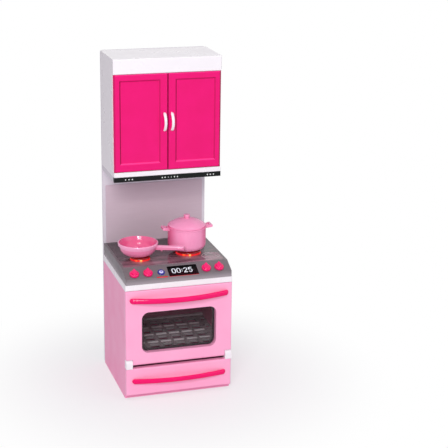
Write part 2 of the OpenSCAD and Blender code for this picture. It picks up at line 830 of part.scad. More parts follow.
// Contact plates: one joins the cells on the left, and each has its own on the right.
// A tapered spring presses on each cell's flat end, and a stud on its nub.
module battery_contacts() {
    plate_t = 0.4;
    inner = batt_half - batt_wall;
    room = inner - plate_t - cell_l / 2;
    coil_r = 0.5;
    turns = 4;
    module coil() {
        rotate_extrude() for (i = [0:turns])
            translate([4 - 0.55 * i, coil_r + i * (room - 0.1 - 2 * coil_r) / turns])
                circle(coil_r, $fn = 16);
    }
    color("silver") {
        span([-inner, cell_y - 4.6, cell_z[0] - 4.6], [-inner + plate_t, cell_y + 4.6, cell_z[1] + 4.6]);
        for (k = [0, 1])
            span([inner - plate_t, cell_y - 4.6, cell_z[k] - 4.6], [inner, cell_y + 4.6, cell_z[k] + 4.6]);
        for (k = [0, 1]) translate([0, cell_y, cell_z[k]]) mirror([k, 0, 0]) {
            translate([-inner + plate_t, 0, 0]) rotate([0, 90, 0]) coil();
            translate([cell_l / 2 + 0.1, 0, 0]) rotate([0, 90, 0]) cylinder(r = 1.6, h = room - 0.1);
        }
    }
}

// Back

module back_panel() {
    hole_pitch = 4;
    color("#d9d4dc") difference() {
        stand(back_y, unit_d) translate([0, unit_h / 2]) round_rect(unit_w, unit_h, 2);
        // Hatch for the battery cover
        span([-hatch_half, back_y - 1, hatch_z0], [hatch_half, unit_d + 1, hatch_z1]);
        // Screw holes with sunk heads
        for (side = [-1, 1], z = screw_zs) translate([side * boss_x, 0, z]) screw_hole();
        // Speaker holes, in rings of six, twelve and so on round a middle one
        for (ring = [0:2], k = [0:max(1, 6 * ring) - 1]) {
            turn = 60 * k / max(1, ring);
            translate([ring * hole_pitch * cos(turn), 0, speaker_z + ring * hole_pitch * sin(turn)])
                rotate([-90, 0, 0]) cylinder(r = 0.9, h = unit_d + 1, $fn = 24);
        }
    }
}

// Hole through to the back face, with a sunk seat for a screw's head
module screw_hole() {
    rotate([-90, 0, 0]) {
        cylinder(r = screw_r + 0.1, h = unit_d + 1);
        translate([0, 0, unit_d - screw_head_t - 0.1]) cylinder(r = screw_head_r + 0.1, h = screw_head_t + 1);
    }
}

module back_screws() {
    color("silver")
        for (side = [-1, 1], z = screw_zs)
            translate([side * boss_x, unit_d - 0.1, z]) rotate([-90, 0, 0]) screw();
}

// Cover that hooks behind the back panel at its foot and is held by one screw
module battery_cover() {
    color("#d9d4dc") difference() {
        union() {
            span([-hatch_half + hatch_gap, back_y + 0.1, hatch_z0 + hatch_gap],
                [hatch_half - hatch_gap, unit_d, hatch_z1 - hatch_gap]);
            for (x = hook_xs) {
                span([x - hook_w / 2, back_y - 0.1 - hook_t, hatch_z0 - 0.7],
                    [x + hook_w / 2, back_y - 0.1, hatch_z0 + 1.5]);
                span([x - hook_w / 2, back_y - 0.1 - hook_t, hatch_z0 + 0.4],
                    [x + hook_w / 2, back_y + 0.3, hatch_z0 + 1.5]);
            }
        }
        translate([0, 0, batt_mid]) screw_hole();
        // Finger grooves
        for (k = [-2:2])
            translate([0, unit_d, hatch_z1 - 6.5 + 1.6 * k]) rotate([0, 90, 0])
                cylinder(r = 0.4, h = 20, center = true, $fn = 16);
    }
}

module battery_screw() {
    color("silver") translate([0, unit_d - 0.1, batt_mid]) rotate([-90, 0, 0]) screw();
}

module splashback() {
    color("#bfa9bc") stand(back_y - splash_t, back_y) translate([0, (splash_z0 + splash_z1) / 2])
        round_rect(unit_w - 2 * splash_side, splash_z1 - splash_z0, 1);
}

// Oven door

module oven_door() {
    window_at = [0, window_z];
    color("#f9a6cb") difference() {
        intersection() {
            along_x(-half_w, half_w) {
                soft_left(0, front_t, hinge_z, door_z1, edge_r);
                translate([hinge_y, hinge_z]) circle(hinge_r);
                translate([0, hinge_z]) square([front_t, 2 * edge_r]);
            }
            along_z(door_z0 - 1, door_z1 + 1) soft_low(-half_w, half_w, 0, front_t, edge_r);
        }
        // Lower corners, clear of the hinge brackets
        for (side = [-1, 1]) sided(side)
            span([bracket_x0 - front_gap, -1, door_z0 - 1],
                [half_w + 1, front_t + 1, hinge_z + bracket_r + front_gap]);
        stand(-1, front_t + 1) translate(window_at) round_rect(window_w, window_h, window_r);
        // Rebate for the window sheet
        stand(front_t - glass_t - 0.1, front_t + 1) translate(window_at)
            round_rect(window_w + 2 * glass_rim + 0.2, window_h + 2 * glass_rim + 0.2,
                window_r + glass_rim + 0.1);
    }
    // Hinge pins
    color("#f9a6cb") for (side = [-1, 1]) sided(side)
        translate([bracket_x0 - front_gap - 0.5, hinge_y, hinge_z]) rotate([0, 90, 0])
            cylinder(r = pin_r, h = pin_l + front_gap + 0.5);
}

module oven_window() {
    color([0.12, 0.1, 0.13, 0.5]) stand(front_t - glass_t, front_t) translate([0, window_z])
        round_rect(window_w + 2 * glass_rim, window_h + 2 * glass_rim, window_r + glass_rim);
}

// Inner frame that plugs into the oven's mouth and holds the window sheet
module oven_door_inner() {
    plug_half = cavity_half - inner_gap;
    plug_z0 = cavity_z0 + inner_gap;
    plug_z1 = cavity_z1 - inner_gap;
    color("#f9a6cb") difference() {
        stand(front_t, front_t + inner_t) translate([0, (plug_z0 + plug_z1) / 2])
            round_rect(2 * plug_half, plug_z1 - plug_z0, 2);
        stand(front_t - 1, front_t + inner_t + 1) translate([0, window_z])
            round_rect(window_w, window_h, window_r);
    }
}

module oven_door_handle() {
    color("#f5107a") translate([0, 0, door_handle_z])
        bowed_bar(door_handle_l, door_handle_hs, door_bow, door_handle_t);
}

// Drawer

module drawer_front() {
    color("#f9a6cb") front_plate([-half_w, 0, drawer_foot], [half_w, front_t, drawer_z1], edge_r);
}

module drawer_tray() {
    in_half = tray_half - tray_t;
    y1 = batt_y0 - tray_clear;
    color("#f6a3c8") difference() {
        span([-tray_half, front_t, tray_z0], [tray_half, y1, tray_z1]);
        span([-in_half, front_t + tray_t, tray_z0 + tray_t], [in_half, y1 - tray_t, tray_z1 + 1]);
    }
}

module drawer_handle() {
    color("#f5107a") translate([0, 0, drawer_handle_z])
        bowed_bar(drawer_handle_l, drawer_handle_hs, drawer_bow, drawer_handle_t);
}

// Tower

module hood_strip() {
    color("#14201c") front_plate([-half_w, recess, hood_z0], [half_w, recess + cup_door_t, hood_z1], 0.5);
}

// Hood body: open at the top under the cupboard, with two fields of slots in its underside
module hood_tray() {
    y0 = recess + cup_door_t;
    slot_w = 1.6;
    slot_l = half_w - 19;
    slot_pitch = 4;
    slots = floor((back_y - y0 - 20) / slot_pitch);
    color("#e4e0e6") difference() {
        span([-half_w, y0, hood_z0], [half_w, back_y, hood_z1]);
        span([-half_w + wall, y0 + wall, hood_z0 + 1.6], [half_w - wall, back_y - wall, hood_z1 + 1]);
        for (side = [-1, 1], k = [0:slots - 1])
            translate([side * (half_w / 2 - 1), y0 + 10 + slot_pitch * k, hood_z0 - 1]) linear_extrude(4)
                round_rect(slot_l, slot_w, slot_w / 2 - 0.05);
    }
}

module cupboard_shell() {
    color("white") difference() {
        union() {
            // Bottom rail, sides and cornice, open in front for the doors and at the back
            front_plate([-half_w, recess, hood_z1], [half_w, back_y, rail_z1], 0.6);
            front_plate([-half_w, recess, cornice_z0], [half_w, back_y, unit_h], 1);
            for (side = [-1, 1]) sided(side) {
                span([half_w - wall, cup_shell_y, rail_z1 - 1], [half_w, back_y, cornice_z0 + 1]);
            }
        }
        // Hollow of the cornice and of the bottom rail
        span([-half_w + wall, recess + wall, cornice_z0 + wall + 0.6],
            [half_w - wall, back_y + 1, unit_h - wall]);
        span([-half_w + wall, recess + 3 * wall, hood_z1 - 1], [half_w - wall, back_y + 1, rail_z1 - wall]);
        // Sockets for the door pins
        for (side = [-1, 1]) sided(side) translate([cup_hinge_x, cup_hinge_y, 0]) {
            translate([0, 0, rail_z1 - cup_pin_l - 0.4]) cylinder(r = cup_pin_r + run_gap, h = cup_pin_l + 1);
            translate([0, 0, cornice_z0 - 0.6]) cylinder(r = cup_pin_r + run_gap, h = cup_pin_l + 1);
        }
    }
    color("white") for (side = [-1, 1]) sided(side) for (z = [screw_zs[2], screw_zs[3]]) screw_boss(z);
}

module cupboard_liner() {
    color("#5a2c17") difference() {
        span([-liner_half, liner_y0, liner_z0], [liner_half, liner_y1, liner_z1]);
        span([-liner_half + liner_t, liner_y0 - 1, liner_z0 + liner_t],
            [liner_half - liner_t, liner_y1 - liner_t, liner_z1 - liner_t]);
    }
}

module cupboard_frame() {
    color("#d89a78") difference() {
        span([-liner_half, frame_y0, liner_z0], [liner_half, liner_y0, liner_z1]);
        span([-liner_half + frame_rim, frame_y0 - 1, liner_z0 + frame_rim],
            [liner_half - frame_rim, liner_y0 + 1, liner_z1 - frame_rim]);
    }
}

// Shelf and divider are lapped: the shelf is slotted from the back and the divider from the front
module shelf() {
    y0 = liner_y0 + 0.1;
    y1 = liner_y1 - liner_t - 0.2;
    mid = (y0 + y1) / 2;
    color("#d89a78") difference() {
        span([-shelf_half, y0, shelf_z - board_t / 2], [shelf_half, y1, shelf_z + board_t / 2]);
        span([-board_t / 2 - lap_gap, mid, shelf_z - board_t],
            [board_t / 2 + lap_gap, y1 + 1, shelf_z + board_t]);
    }
}

module divider() {
    y0 = liner_y0 + 0.1;
    y1 = liner_y1 - liner_t - 0.2;
    mid = (y0 + y1) / 2;
    color("#d89a78") difference() {
        span([-board_t / 2, y0, liner_z0 + liner_t + 0.15], [board_t / 2, y1, liner_z1 - liner_t - 0.15]);
        span([-board_t, y0 - 1, shelf_z - board_t / 2 - lap_gap],
            [board_t, mid + 0.1, shelf_z + board_t / 2 + lap_gap]);
    }
}

// Right-hand cupboard door: its hinge edge is round on the hinge axis, and its panel is sunk between bevels
module cupboard_door(side) {
    x0 = seam / 2;
    inset = [x0 + stile_in, cup_z0 + rail_low];
    field = [cup_hinge_x + cup_hinge_r - stile_out, cup_z1 - rail_top] - inset;
    color("#f5207a") sided(side) {
        difference() {
            intersection() {
                along_z(cup_z0, cup_z1) {
                    soft_low(x0, cup_hinge_x, recess, recess + cup_door_t, 0.7);
                    translate([cup_hinge_x - 2, recess]) square([2, cup_door_t]);
                    translate([cup_hinge_x, cup_hinge_y]) circle(cup_hinge_r);
                }
                along_x(-1, half_w) soft_left(recess, recess + cup_door_t, cup_z0, cup_z1, 0.7);
            }
            hull() {
                translate([inset.x, recess - 0.01, inset.y]) cube([field.x, 0.01, field.y]);
                translate([inset.x + relief_bevel, recess - 0.01, inset.y + relief_bevel])
                    cube([field.x - 2 * relief_bevel, relief + 0.01, field.y - 2 * relief_bevel]);
            }
        }
        // Hinge pins
        translate([cup_hinge_x, cup_hinge_y, cup_z0 - cup_pin_l]) cylinder(r = cup_pin_r, h = cup_pin_l + 1);
        translate([cup_hinge_x, cup_hinge_y, cup_z1 - 1]) cylinder(r = cup_pin_r, h = cup_pin_l + 1);
    }
}

// Bow handle: an upright bowed bar
module bow_handle(side) {
    color("white") sided(side) translate([bow_x, recess, (cup_z0 + cup_z1) / 2 + 0.4]) rotate([0, 90, 0])
        bowed_bar(bow_l / 2, bow_handle_hs, bow_out - (1 - bar_back) * bow_t, bow_t);
}

// Cookware

// Pan: a round bowl under an upright rim band, and a flat handle that points to the front right
module pan() {
    band_h = 3;
    bowl_r = pan_r - 1.4;
    bowl_h = pan_h - band_h;
    foot = bowl_r - 2.2;
    bowl_round = 8.5;
    handle_w = 5.6;
    handle_t0 = 3.8;
    handle_z = 7.1;
    tip_r = 2.8;
    tip_x = pan_r + pan_handle_l - tip_r;
    root_x = bowl_r - 1;
    outer = concat([[0, 0]], round_corner([0, 0], [foot, 0], [bowl_r, bowl_h], bowl_round),
        [[bowl_r, bowl_h], [pan_r - 0.5, bowl_h + 0.3]],
        round_corner([pan_r - 0.5, bowl_h + 0.3], [pan_r, pan_h], [0, pan_h], 0.6, 4));
    mouth = [pan_r - 1.2, pan_h];
    shoulder = [bowl_r - cook_wall, bowl_h];
    inner = concat([mouth, shoulder],
        round_corner(shoulder, [foot - cook_wall, cook_wall], [0, cook_wall], bowl_round - cook_wall),
        [[0, cook_wall]]);
    color("#f590bd") translate([pan_at.x, pan_at.y, cook_z]) {
        rotate_extrude($fn = 96) polygon(concat(outer, inner));
        rotate(pan_turn) difference() {
            union() {
                intersection() {
                    translate([0, 0, handle_z - handle_t0 / 2]) linear_extrude(handle_t0) {
                        polygon([[root_x, -2.2], [tip_x, -tip_r], [tip_x, tip_r], [root_x, 2.2]]);
                        translate([tip_x, 0]) circle(tip_r);
                    }
                    along_x(root_x, pan_r + pan_handle_l + 1) translate([0, handle_z])
                        round_rect(handle_w, handle_t0, 1.5);
                }
                // Foot under the handle's root
                translate([pan_r + 3, 0, handle_z - handle_t0 / 2 - 1.1]) cylinder(r = 1.1, h = 2, $fn = 24);
            }
            cylinder(r = bowl_r - 0.7, h = pan_h + 1);
        }
    }
}

// Pot: a straight body with a rounded foot, and two slotted ears that widen outwards and tilt up a little
module pot() {
    in_r = pot_r - cook_wall;
    rim_r = pot_r + rim_out;
    outer = concat([[0, 0]], round_corner([0, 0], [pot_r, 0], [pot_r, pot_h], 5),
        [[pot_r, pot_h - 1.6], [rim_r, pot_h - 1.2], [rim_r, pot_h]]);
    inner = concat([[in_r, pot_h]], round_corner([in_r, pot_h], [in_r, cook_wall], [0, cook_wall], 3.8),
        [[0, cook_wall]]);
    color("#f590bd") translate([pot_at.x, pot_at.y, cook_z]) {
        rotate_extrude($fn = 96) polygon(concat(outer, inner));
        for (side = [-1, 1]) sided(side) difference() {
            translate([pot_r, 0, ear_z]) pot_ear();
            cylinder(r = pot_r - 0.6, h = pot_h + 3, $fn = 96);
        }
    }
}

// Right-hand ear of the pot, from the pot's wall at x = 0
module pot_ear() {
    ear_t = 2.4;
    ear_l = 6.4;
    neck = 3.2;
    wide = 5.4;
    low = [ear_l, -wide];
    high = [ear_l, wide];
    rotate([0, -12, 0]) intersection() {
        translate([0, 0, -ear_t / 2]) linear_extrude(ear_t) difference() {
            polygon(concat([[-2, neck], [-2, -neck], [0, -neck]], round_corner([0, -neck], low, high, 1.6),
                round_corner(low, high, [0, neck], 1.6), [[0, neck]]));
            translate([ear_l - 3.4, 0]) round_rect(2, 5, 0.95);
        }
        stand(-wide, wide) round_rect(2 * ear_l, ear_t, ear_t / 2 - 0.05);
    }
}

// Lid: a dome inside the pot's rim line, a ring that locates it, and a flared knob
module pot_lid() {
    lid_r = pot_r - 0.2;
    skirt = 1.2;
    dome_c = (lid_r * lid_r - lid_h * lid_h) / (2 * lid_h);
    dome_r = dome_c + lid_h;
    ring_r = pot_r - cook_wall - 0.4;
    neck_r = 2.2;
    knob_top = 3.85;
    color("#f590bd") translate([pot_at.x, pot_at.y, cook_z + pot_h + lid_gap]) {
        rotate_extrude($fn = 96) {
            difference() {
                union() {
                    intersection() {
                        translate([0, skirt - dome_c]) circle(dome_r, $fn = 240);
                        square([lid_r, lid_h + skirt]);
                    }
                    square([lid_r, skirt]);
                }
                intersection() {
                    translate([0, skirt - dome_c - cook_wall]) circle(dome_r, $fn = 240);
                    translate([-1, -1]) square([ring_r, lid_h + skirt]);
                }
            }
            translate([ring_r - 1, -1.6]) square([1, 2]);
        }
        // Knob
        translate([0, 0, lid_h + skirt - 0.6]) rotate_extrude()
            polygon(concat([[0, 0], [neck_r, 0], [neck_r, 1.4], [lid_knob_r, 2.2]],
                round_corner([lid_knob_r, 2.2], [lid_knob_r, knob_top], [0, knob_top], 0.6),
                [[0, knob_top]]));
    }
}

// The unit, with its box centred on the origin
module placed() {
    translate([0, origin_y, 0]) children();
}

placed() range_shell();
placed() oven_box();
placed() oven_rack();
placed() hinge_bracket(-1);  // hinge_bracket_left
placed() hinge_bracket(1);  // hinge_bracket_right
placed() worktop_trim();
placed() control_deck();
placed() hob_plate();
placed() burner_cap(left_burner, burner_left_r);  // burner_cap_left
placed() burner_cap(right_burner, burner_right_r);  // burner_cap_right
placed() clock_window();
placed() button_bezel();
placed() push_button();
placed() knob(knob_xs[0]);  // knob_1
placed() knob(knob_xs[1]);  // knob_2
placed() knob(knob_xs[2]);  // knob_3
placed() knob(knob_xs[3]);  // knob_4
placed() circuit_board();
placed() button_switch();
placed() burner_lamps();
placed() board_screws();
placed() speaker();
placed() wires();
placed() battery_box();
placed() batteries();
placed() battery_contacts();
placed() battery_cover();
placed() battery_screw();
placed() back_panel();
placed() back_screws();
placed() splashback();
placed() oven_door();
placed() oven_door_inner();
placed() oven_window();
placed() oven_door_handle();
placed() drawer_front();
placed() drawer_tray();
placed() drawer_handle();
placed() hood_tray();
placed() hood_strip();
placed() cupboard_shell();
placed() cupboard_liner();
placed() cupboard_frame();
placed() shelf();
placed() divider();
placed() cupboard_door(-1);  // cupboard_door_left
placed() cupboard_door(1);  // cupboard_door_right
placed() bow_handle(-1);  // bow_handle_left
placed() bow_handle(1);  // bow_handle_right
placed() pan();
placed() pot();
placed() pot_lid();
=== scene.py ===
# %% [markdown]
# A doll-size toy kitchen, dressed for its portrait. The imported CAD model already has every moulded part
# in its real place and size, so this lesson does three things: it gives each part the finish of the
# plastic, board or metal that it is made of, it models the small printed and lit details that a mould
# can't make, and it sets up a plain studio with a camera where the photographer stood.

# %% Load the fixed model
import math

import bmesh
import bpy
from mathutils import Matrix, Vector


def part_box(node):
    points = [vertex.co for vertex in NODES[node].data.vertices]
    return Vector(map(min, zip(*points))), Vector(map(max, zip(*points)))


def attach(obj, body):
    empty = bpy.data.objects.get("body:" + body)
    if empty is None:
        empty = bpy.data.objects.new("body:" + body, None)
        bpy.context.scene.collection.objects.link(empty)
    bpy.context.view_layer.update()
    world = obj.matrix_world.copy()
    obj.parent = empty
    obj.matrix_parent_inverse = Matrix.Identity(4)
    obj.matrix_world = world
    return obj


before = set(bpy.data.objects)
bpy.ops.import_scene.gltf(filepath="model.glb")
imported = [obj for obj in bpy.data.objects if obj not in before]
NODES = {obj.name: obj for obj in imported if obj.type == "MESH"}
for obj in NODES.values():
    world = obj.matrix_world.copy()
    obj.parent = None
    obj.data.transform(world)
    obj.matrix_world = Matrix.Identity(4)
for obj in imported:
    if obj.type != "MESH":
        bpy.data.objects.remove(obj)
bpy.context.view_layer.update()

MM = 0.001

# %% [markdown]
# Every place below is written in millimetres the way a maker would measure the toy: x from the middle,
# y back from the face of the oven door, z up from the table. One function turns such a point into the
# model's own frame.

# %% Maker's measure
door_face_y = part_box("oven_door")[0].y


def at(x, y, z):
    """A point of the toy, from millimetres off the door's face to the model's frame in metres."""
    return Vector((x * MM, door_face_y + y * MM, z * MM))


print("the door's face lies at y =", round(door_face_y / MM, 2), "mm")

# %% [markdown]
# The camera stands left of the toy and a little above it, with a long lens, so verticals stay almost
# parallel. Its place was found by fitting the toy's known corners to the photograph. It is built from
# three turns: to the right, down, and a slight roll.

# %% Camera
CAMERA_AT = at(-286.9, -1028.2, 494.7)
TURN_RIGHT, LOOK_DOWN, ROLL = (math.radians(a) for a in (17.68, 17.22, 0.82))
LENS_MM, SENSOR_MM = 102.1, 36.0

forward = Vector((math.sin(TURN_RIGHT) * math.cos(LOOK_DOWN), math.cos(TURN_RIGHT) * math.cos(LOOK_DOWN),
                  -math.sin(LOOK_DOWN)))
level_right = Vector((math.cos(TURN_RIGHT), -math.sin(TURN_RIGHT), 0))
level_up = level_right.cross(forward)
right = level_right * math.cos(ROLL) + level_up * math.sin(ROLL)
up = level_up * math.cos(ROLL) - level_right * math.sin(ROLL)

camera = bpy.data.objects.new("camera", bpy.data.cameras.new("camera"))
bpy.context.scene.collection.objects.link(camera)
camera.data.lens, camera.data.sensor_width = LENS_MM, SENSOR_MM
camera.data.clip_start, camera.data.clip_end = 0.05, 20
turned = Matrix((right, up, -forward)).transposed().to_4x4()
camera.matrix_world = Matrix.Translation(CAMERA_AT) @ turned
bpy.context.scene.camera = camera
print("camera is", round((CAMERA_AT - at(0, 0, 150)).length, 3), "m from the oven")

# %% [markdown]
# Studio light for glossy toys is broad and soft, or every curve would carry a hard spot. A large panel
# stands to the left behind the camera as the key, a weaker one on the right opens the shadows, and a
# third over the top draws light lines on the upper edges. One small lamp by the camera gives the short
# white glints that tell the eye that the plastic is polished. The level is plain: a colour shows about
# as it is written.

# %% Lamps
LOOK_AT = at(0, 40, 140)


def soft_panel(name, place, size, watts):
    """A square area lamp that faces the toy."""
    lamp = bpy.data.objects.new(name, bpy.data.lights.new(name, "AREA"))
    bpy.context.scene.collection.objects.link(lamp)
    lamp.data.size, lamp.data.energy = size, watts
    lamp.location = place
    lamp.rotation_euler = (LOOK_AT - lamp.location).to_track_quat("-Z", "Y").to_euler()


soft_panel("key_panel", Vector((-0.55, -1.2, 0.85)), 0.5, 9.2)
soft_panel("fill_panel", Vector((1.0, -0.9, 0.45)), 0.9, 1.7)
soft_panel("top_panel", Vector((0.1, -0.15, 1.35)), 0.7, 2.6)
soft_panel("glint_lamp", Vector((-0.3, -1.0, 0.85)), 0.05, 1.2)

# %% [markdown]
# One small function adds a shader node, sets it up and links its inputs. Another turns a colour as it is
# written on a screen, a hex value, into the linear light that a renderer adds up.

# %% Two helpers for materials


def add(tree, kind, inputs=None, **settings):
    """A new node; an input is a value, or another node's socket to link."""
    node = tree.nodes.new(kind)
    for name, value in settings.items():
        setattr(node, name, value)
    for name, value in (inputs or {}).items():
        if isinstance(value, bpy.types.NodeSocket):
            tree.links.new(value, node.inputs[name])
        else:
            node.inputs[name].default_value = value
    return node


def linear(hex_colour, alpha=1.0):
    """An sRGB hex colour as linear red, green, blue and alpha."""
    parts = [int(hex_colour[i:i + 2], 16) / 255 for i in (0, 2, 4)]
    return [c / 12.92 if c <= 0.04045 else ((c + 0.055) / 1.055) ** 2.4 for c in parts] + [alpha]


print("mid grey 808080 is", round(linear("808080")[0], 3), "of full light")

# %% [markdown]
# The world gives even light from all round. What the camera, a gloss or a glass sees of it is plain
# white, chosen by Light Path, so the background is white without putting more light on the toy.

# %% World
AMBIENT = 0.46
world = bpy.data.worlds.new("studio_air")
bpy.context.scene.world = world
world.use_nodes = True
tree = world.node_tree
tree.nodes.clear()
path = add(tree, "ShaderNodeLightPath")
straight = add(tree, "ShaderNodeMath", {0: path.outputs["Is Camera Ray"],
                                        1: path.outputs["Is Transmission Ray"]}, operation="MAXIMUM")
seen = add(tree, "ShaderNodeMath", {0: straight.outputs[0], 1: path.outputs["Is Glossy Ray"]},
           operation="MAXIMUM")
soft_air = add(tree, "ShaderNodeBackground", {"Color": linear("F4F1F6"), "Strength": AMBIENT})
white_air = add(tree, "ShaderNodeBackground", {"Color": linear("FFFFFF"), "Strength": 1.0})
both = add(tree, "ShaderNodeMixShader", {0: seen.outputs[0], 1: soft_air.outputs[0], 2: white_air.outputs[0]})
add(tree, "ShaderNodeOutputWorld", {"Surface": both.outputs[0]})
print("world:", world.name, "ambient", AMBIENT)

# %% [markdown]
# The table is a wide round disc, pale and matt. To the camera it adds some of its own white: a little at
# the toy's foot, so that its shadow stays, and more further out, until it runs into the background.

# %% Table
TABLE_R = 3.0
SHADOW_R, WHITE_R, FOOT_GLOW = 0.05, 0.22, 0.5
table_mesh = bpy.data.meshes.new("table")
shape = bmesh.new()
bmesh.ops.create_circle(shape, cap_ends=True, radius=TABLE_R, segments=96)
shape.to_mesh(table_mesh)
shape.free()
table = bpy.data.objects.new("table", table_mesh)
bpy.context.scene.collection.objects.link(table)

matt_white = bpy.data.materials.new("matt_white_paper")
matt_white.use_nodes = True
tree = matt_white.node_tree
tree.nodes.clear()
path = add(tree, "ShaderNodeLightPath")
paper = add(tree, "ShaderNodeBsdfDiffuse", {"Color": linear("F1EFF3")})
glow = add(tree, "ShaderNodeEmission", {"Color": linear("FFFFFF"), "Strength": 1.0})
where = add(tree, "ShaderNodeTexCoord").outputs["Object"]
far = add(tree, "ShaderNodeVectorMath", {0: where}, operation="LENGTH")
fade = add(tree, "ShaderNodeMapRange", {"Value": far.outputs["Value"], "From Min": SHADOW_R,
                                        "From Max": WHITE_R, "To Min": FOOT_GLOW, "To Max": 1.0},
           interpolation_type="SMOOTHSTEP")
own = add(tree, "ShaderNodeMath", {0: path.outputs["Is Camera Ray"], 1: fade.outputs[0]}, operation="MULTIPLY")
mixed = add(tree, "ShaderNodeMixShader", {0: own.outputs[0], 1: paper.outputs[0], 2: glow.outputs[0]})
add(tree, "ShaderNodeOutputMaterial", {"Surface": mixed.outputs[0]})
table.data.materials.append(matt_white)
print("table of", TABLE_R * 2, "m across")

# %% [markdown]
# Nearly every part is injection-moulded ABS or polystyrene: a hard, even plastic whose colour runs right
# through. The eye knows it by a soft gloss that is not quite the same everywhere. The melt leaves faint
# clouds of tone several millimetres wide, and the tool leaves a fine texture. So one recipe makes them
# all: a cloudy colour, a gloss that drifts, and a very low bump whose size is given in millimetres. The
# real texture is a few hundredths of a millimetre wide, and it is drawn coarser here, so that it shows.

# %% Moulded plastic


def moulded(name, colour, cloud, rough=0.3, drift=0.05, cloud_mm=18.0, grain_mm=1.2, grain=0.015, ior=1.53,
            specular=0.5):
    """Moulded plastic of one colour, with a second tone for its clouds."""
    made = bpy.data.materials.new(name)
    made.use_nodes = True
    tree = made.node_tree
    tree.nodes.clear()
    where = add(tree, "ShaderNodeTexCoord").outputs["Object"]
    clouds = add(tree, "ShaderNodeTexNoise", {"Vector": where, "Scale": 1000 / cloud_mm, "Detail": 3.0})
    tone = add(tree, "ShaderNodeMapRange", {"Value": clouds.outputs["Fac"], "From Min": 0.35, "From Max": 0.65})
    tint = add(tree, "ShaderNodeMix", {"Factor": tone.outputs[0], 6: linear(colour), 7: linear(cloud)},
               data_type="RGBA")
    gloss = add(tree, "ShaderNodeMapRange", {"Value": clouds.outputs["Fac"], "From Min": 0.3, "From Max": 0.7,
                                             "To Min": rough - drift, "To Max": rough + drift})
    fine = add(tree, "ShaderNodeTexNoise", {"Vector": where, "Scale": 1000 / grain_mm, "Detail": 2.0})
    bump = add(tree, "ShaderNodeBump", {"Height": fine.outputs["Fac"], "Strength": grain, "Distance": 0.1 * MM})
    skin = add(tree, "ShaderNodeBsdfPrincipled", {"Base Color": tint.outputs[2], "Roughness": gloss.outputs[0],
                                                  "IOR": ior, "Normal": bump.outputs[0],
                                                  "Specular IOR Level": specular})
    add(tree, "ShaderNodeOutputMaterial", {"Surface": skin.outputs[0]})
    return made


light_pink = moulded("moulded_ABS_light_pink", "FFB0D4", "FFACD1", rough=0.34)
shell_pink = moulded("moulded_ABS_shell_pink", "FCA3CA", "FA9EC6", rough=0.38)
hot_pink = moulded("moulded_ABS_hot_pink", "F6006C", "F20068", rough=0.13, drift=0.03, specular=0.25)
knob_pink = moulded("moulded_ABS_knob_pink", "F50870", "F1046A", rough=0.13, drift=0.03, cloud_mm=4.0,
                    specular=0.4)
cookware_pink = moulded("moulded_polypropylene_pink", "FFA4CC", "FD9EC8", rough=0.26, cloud_mm=9.0, ior=1.49,
                        specular=0.25)
white_plastic = moulded("moulded_ABS_white", "F6F2F6", "F3EFF3", rough=0.3)
pale_back = moulded("moulded_polystyrene_pale", "DCD7DF", "D7D1DA", rough=0.45, grain=0.03)
strip_black = moulded("moulded_ABS_strip_black", "0C1210", "080D0B", rough=0.3, specular=0.2)
box_black = moulded("moulded_ABS_box_black", "26262A", "2C2C30", rough=0.5, grain=0.05)
navy_plastic = moulded("moulded_ABS_navy", "23279A", "1D2190", rough=0.25, cloud_mm=3.0)
speaker_black = moulded("pressed_paper_speaker_cone", "2E2E32", "37373B", rough=0.75, grain=0.3, grain_mm=0.4)
print("plastics:", len([m for m in bpy.data.materials if m.name.startswith("moulded")]))

# %% [markdown]
# Some of the mouldings show more than one tone, where the photograph has shade or coloured light that a
# plain studio doesn't give. A mask is made of the height, of the surface's own direction, or of the way to
# a point, and it turns the first tone into the second. All of it moves with the part when it opens.

# %% Masks for tones


def retone(finish, mask, colour):
    """Mixes another colour over a moulded finish where the mask is 1; mask(tree) returns a socket."""
    tree = finish.node_tree
    skin = next(n for n in tree.nodes if n.type == "BSDF_PRINCIPLED")
    below = skin.inputs["Base Color"].links[0].from_socket
    over = add(tree, "ShaderNodeMix", {"Factor": mask(tree), 6: below, 7: linear(colour)}, data_type="RGBA")
    tree.links.new(over.outputs[2], skin.inputs["Base Color"])


def by_height(low_mm, high_mm):
    """1 below the lower height, 0 above the higher one."""
    def mask(tree):
        where = add(tree, "ShaderNodeTexCoord").outputs["Object"]
        z = add(tree, "ShaderNodeSeparateXYZ", {"Vector": where}).outputs["Z"]
        return add(tree, "ShaderNodeMapRange", {"Value": z, "From Min": low_mm * MM, "From Max": high_mm * MM,
                                                "To Min": 1.0, "To Max": 0.0}).outputs[0]
    return mask


def by_direction(way, least, full):
    """0 where the surface faces along `way` by less than `least`, rising to 1 at `full` and over."""
    def mask(tree):
        faces = add(tree, "ShaderNodeTexCoord").outputs["Normal"]
        along = add(tree, "ShaderNodeVectorMath", {0: faces, 1: way}, operation="DOT_PRODUCT")
        return add(tree, "ShaderNodeMapRange", {"Value": along.outputs["Value"], "From Min": least,
                                                "From Max": full}).outputs[0]
    return mask


def towards(point, least, full):
    """Rises from 0 to 1 as the surface turns to face a point."""
    def mask(tree):
        coordinates = add(tree, "ShaderNodeTexCoord")
        gap = add(tree, "ShaderNodeVectorMath", {0: point, 1: coordinates.outputs["Object"]},
                  operation="SUBTRACT")
        way = add(tree, "ShaderNodeVectorMath", {0: gap.outputs[0]}, operation="NORMALIZE")
        along = add(tree, "ShaderNodeVectorMath", {0: way.outputs[0], 1: coordinates.outputs["Normal"]},
                    operation="DOT_PRODUCT")
        return add(tree, "ShaderNodeMapRange", {"Value": along.outputs["Value"], "From Min": least,
                                                "From Max": full}).outputs[0]
    return mask


print("three kinds of mask:", [kind.__name__ for kind in (by_height, by_direction, towards)])

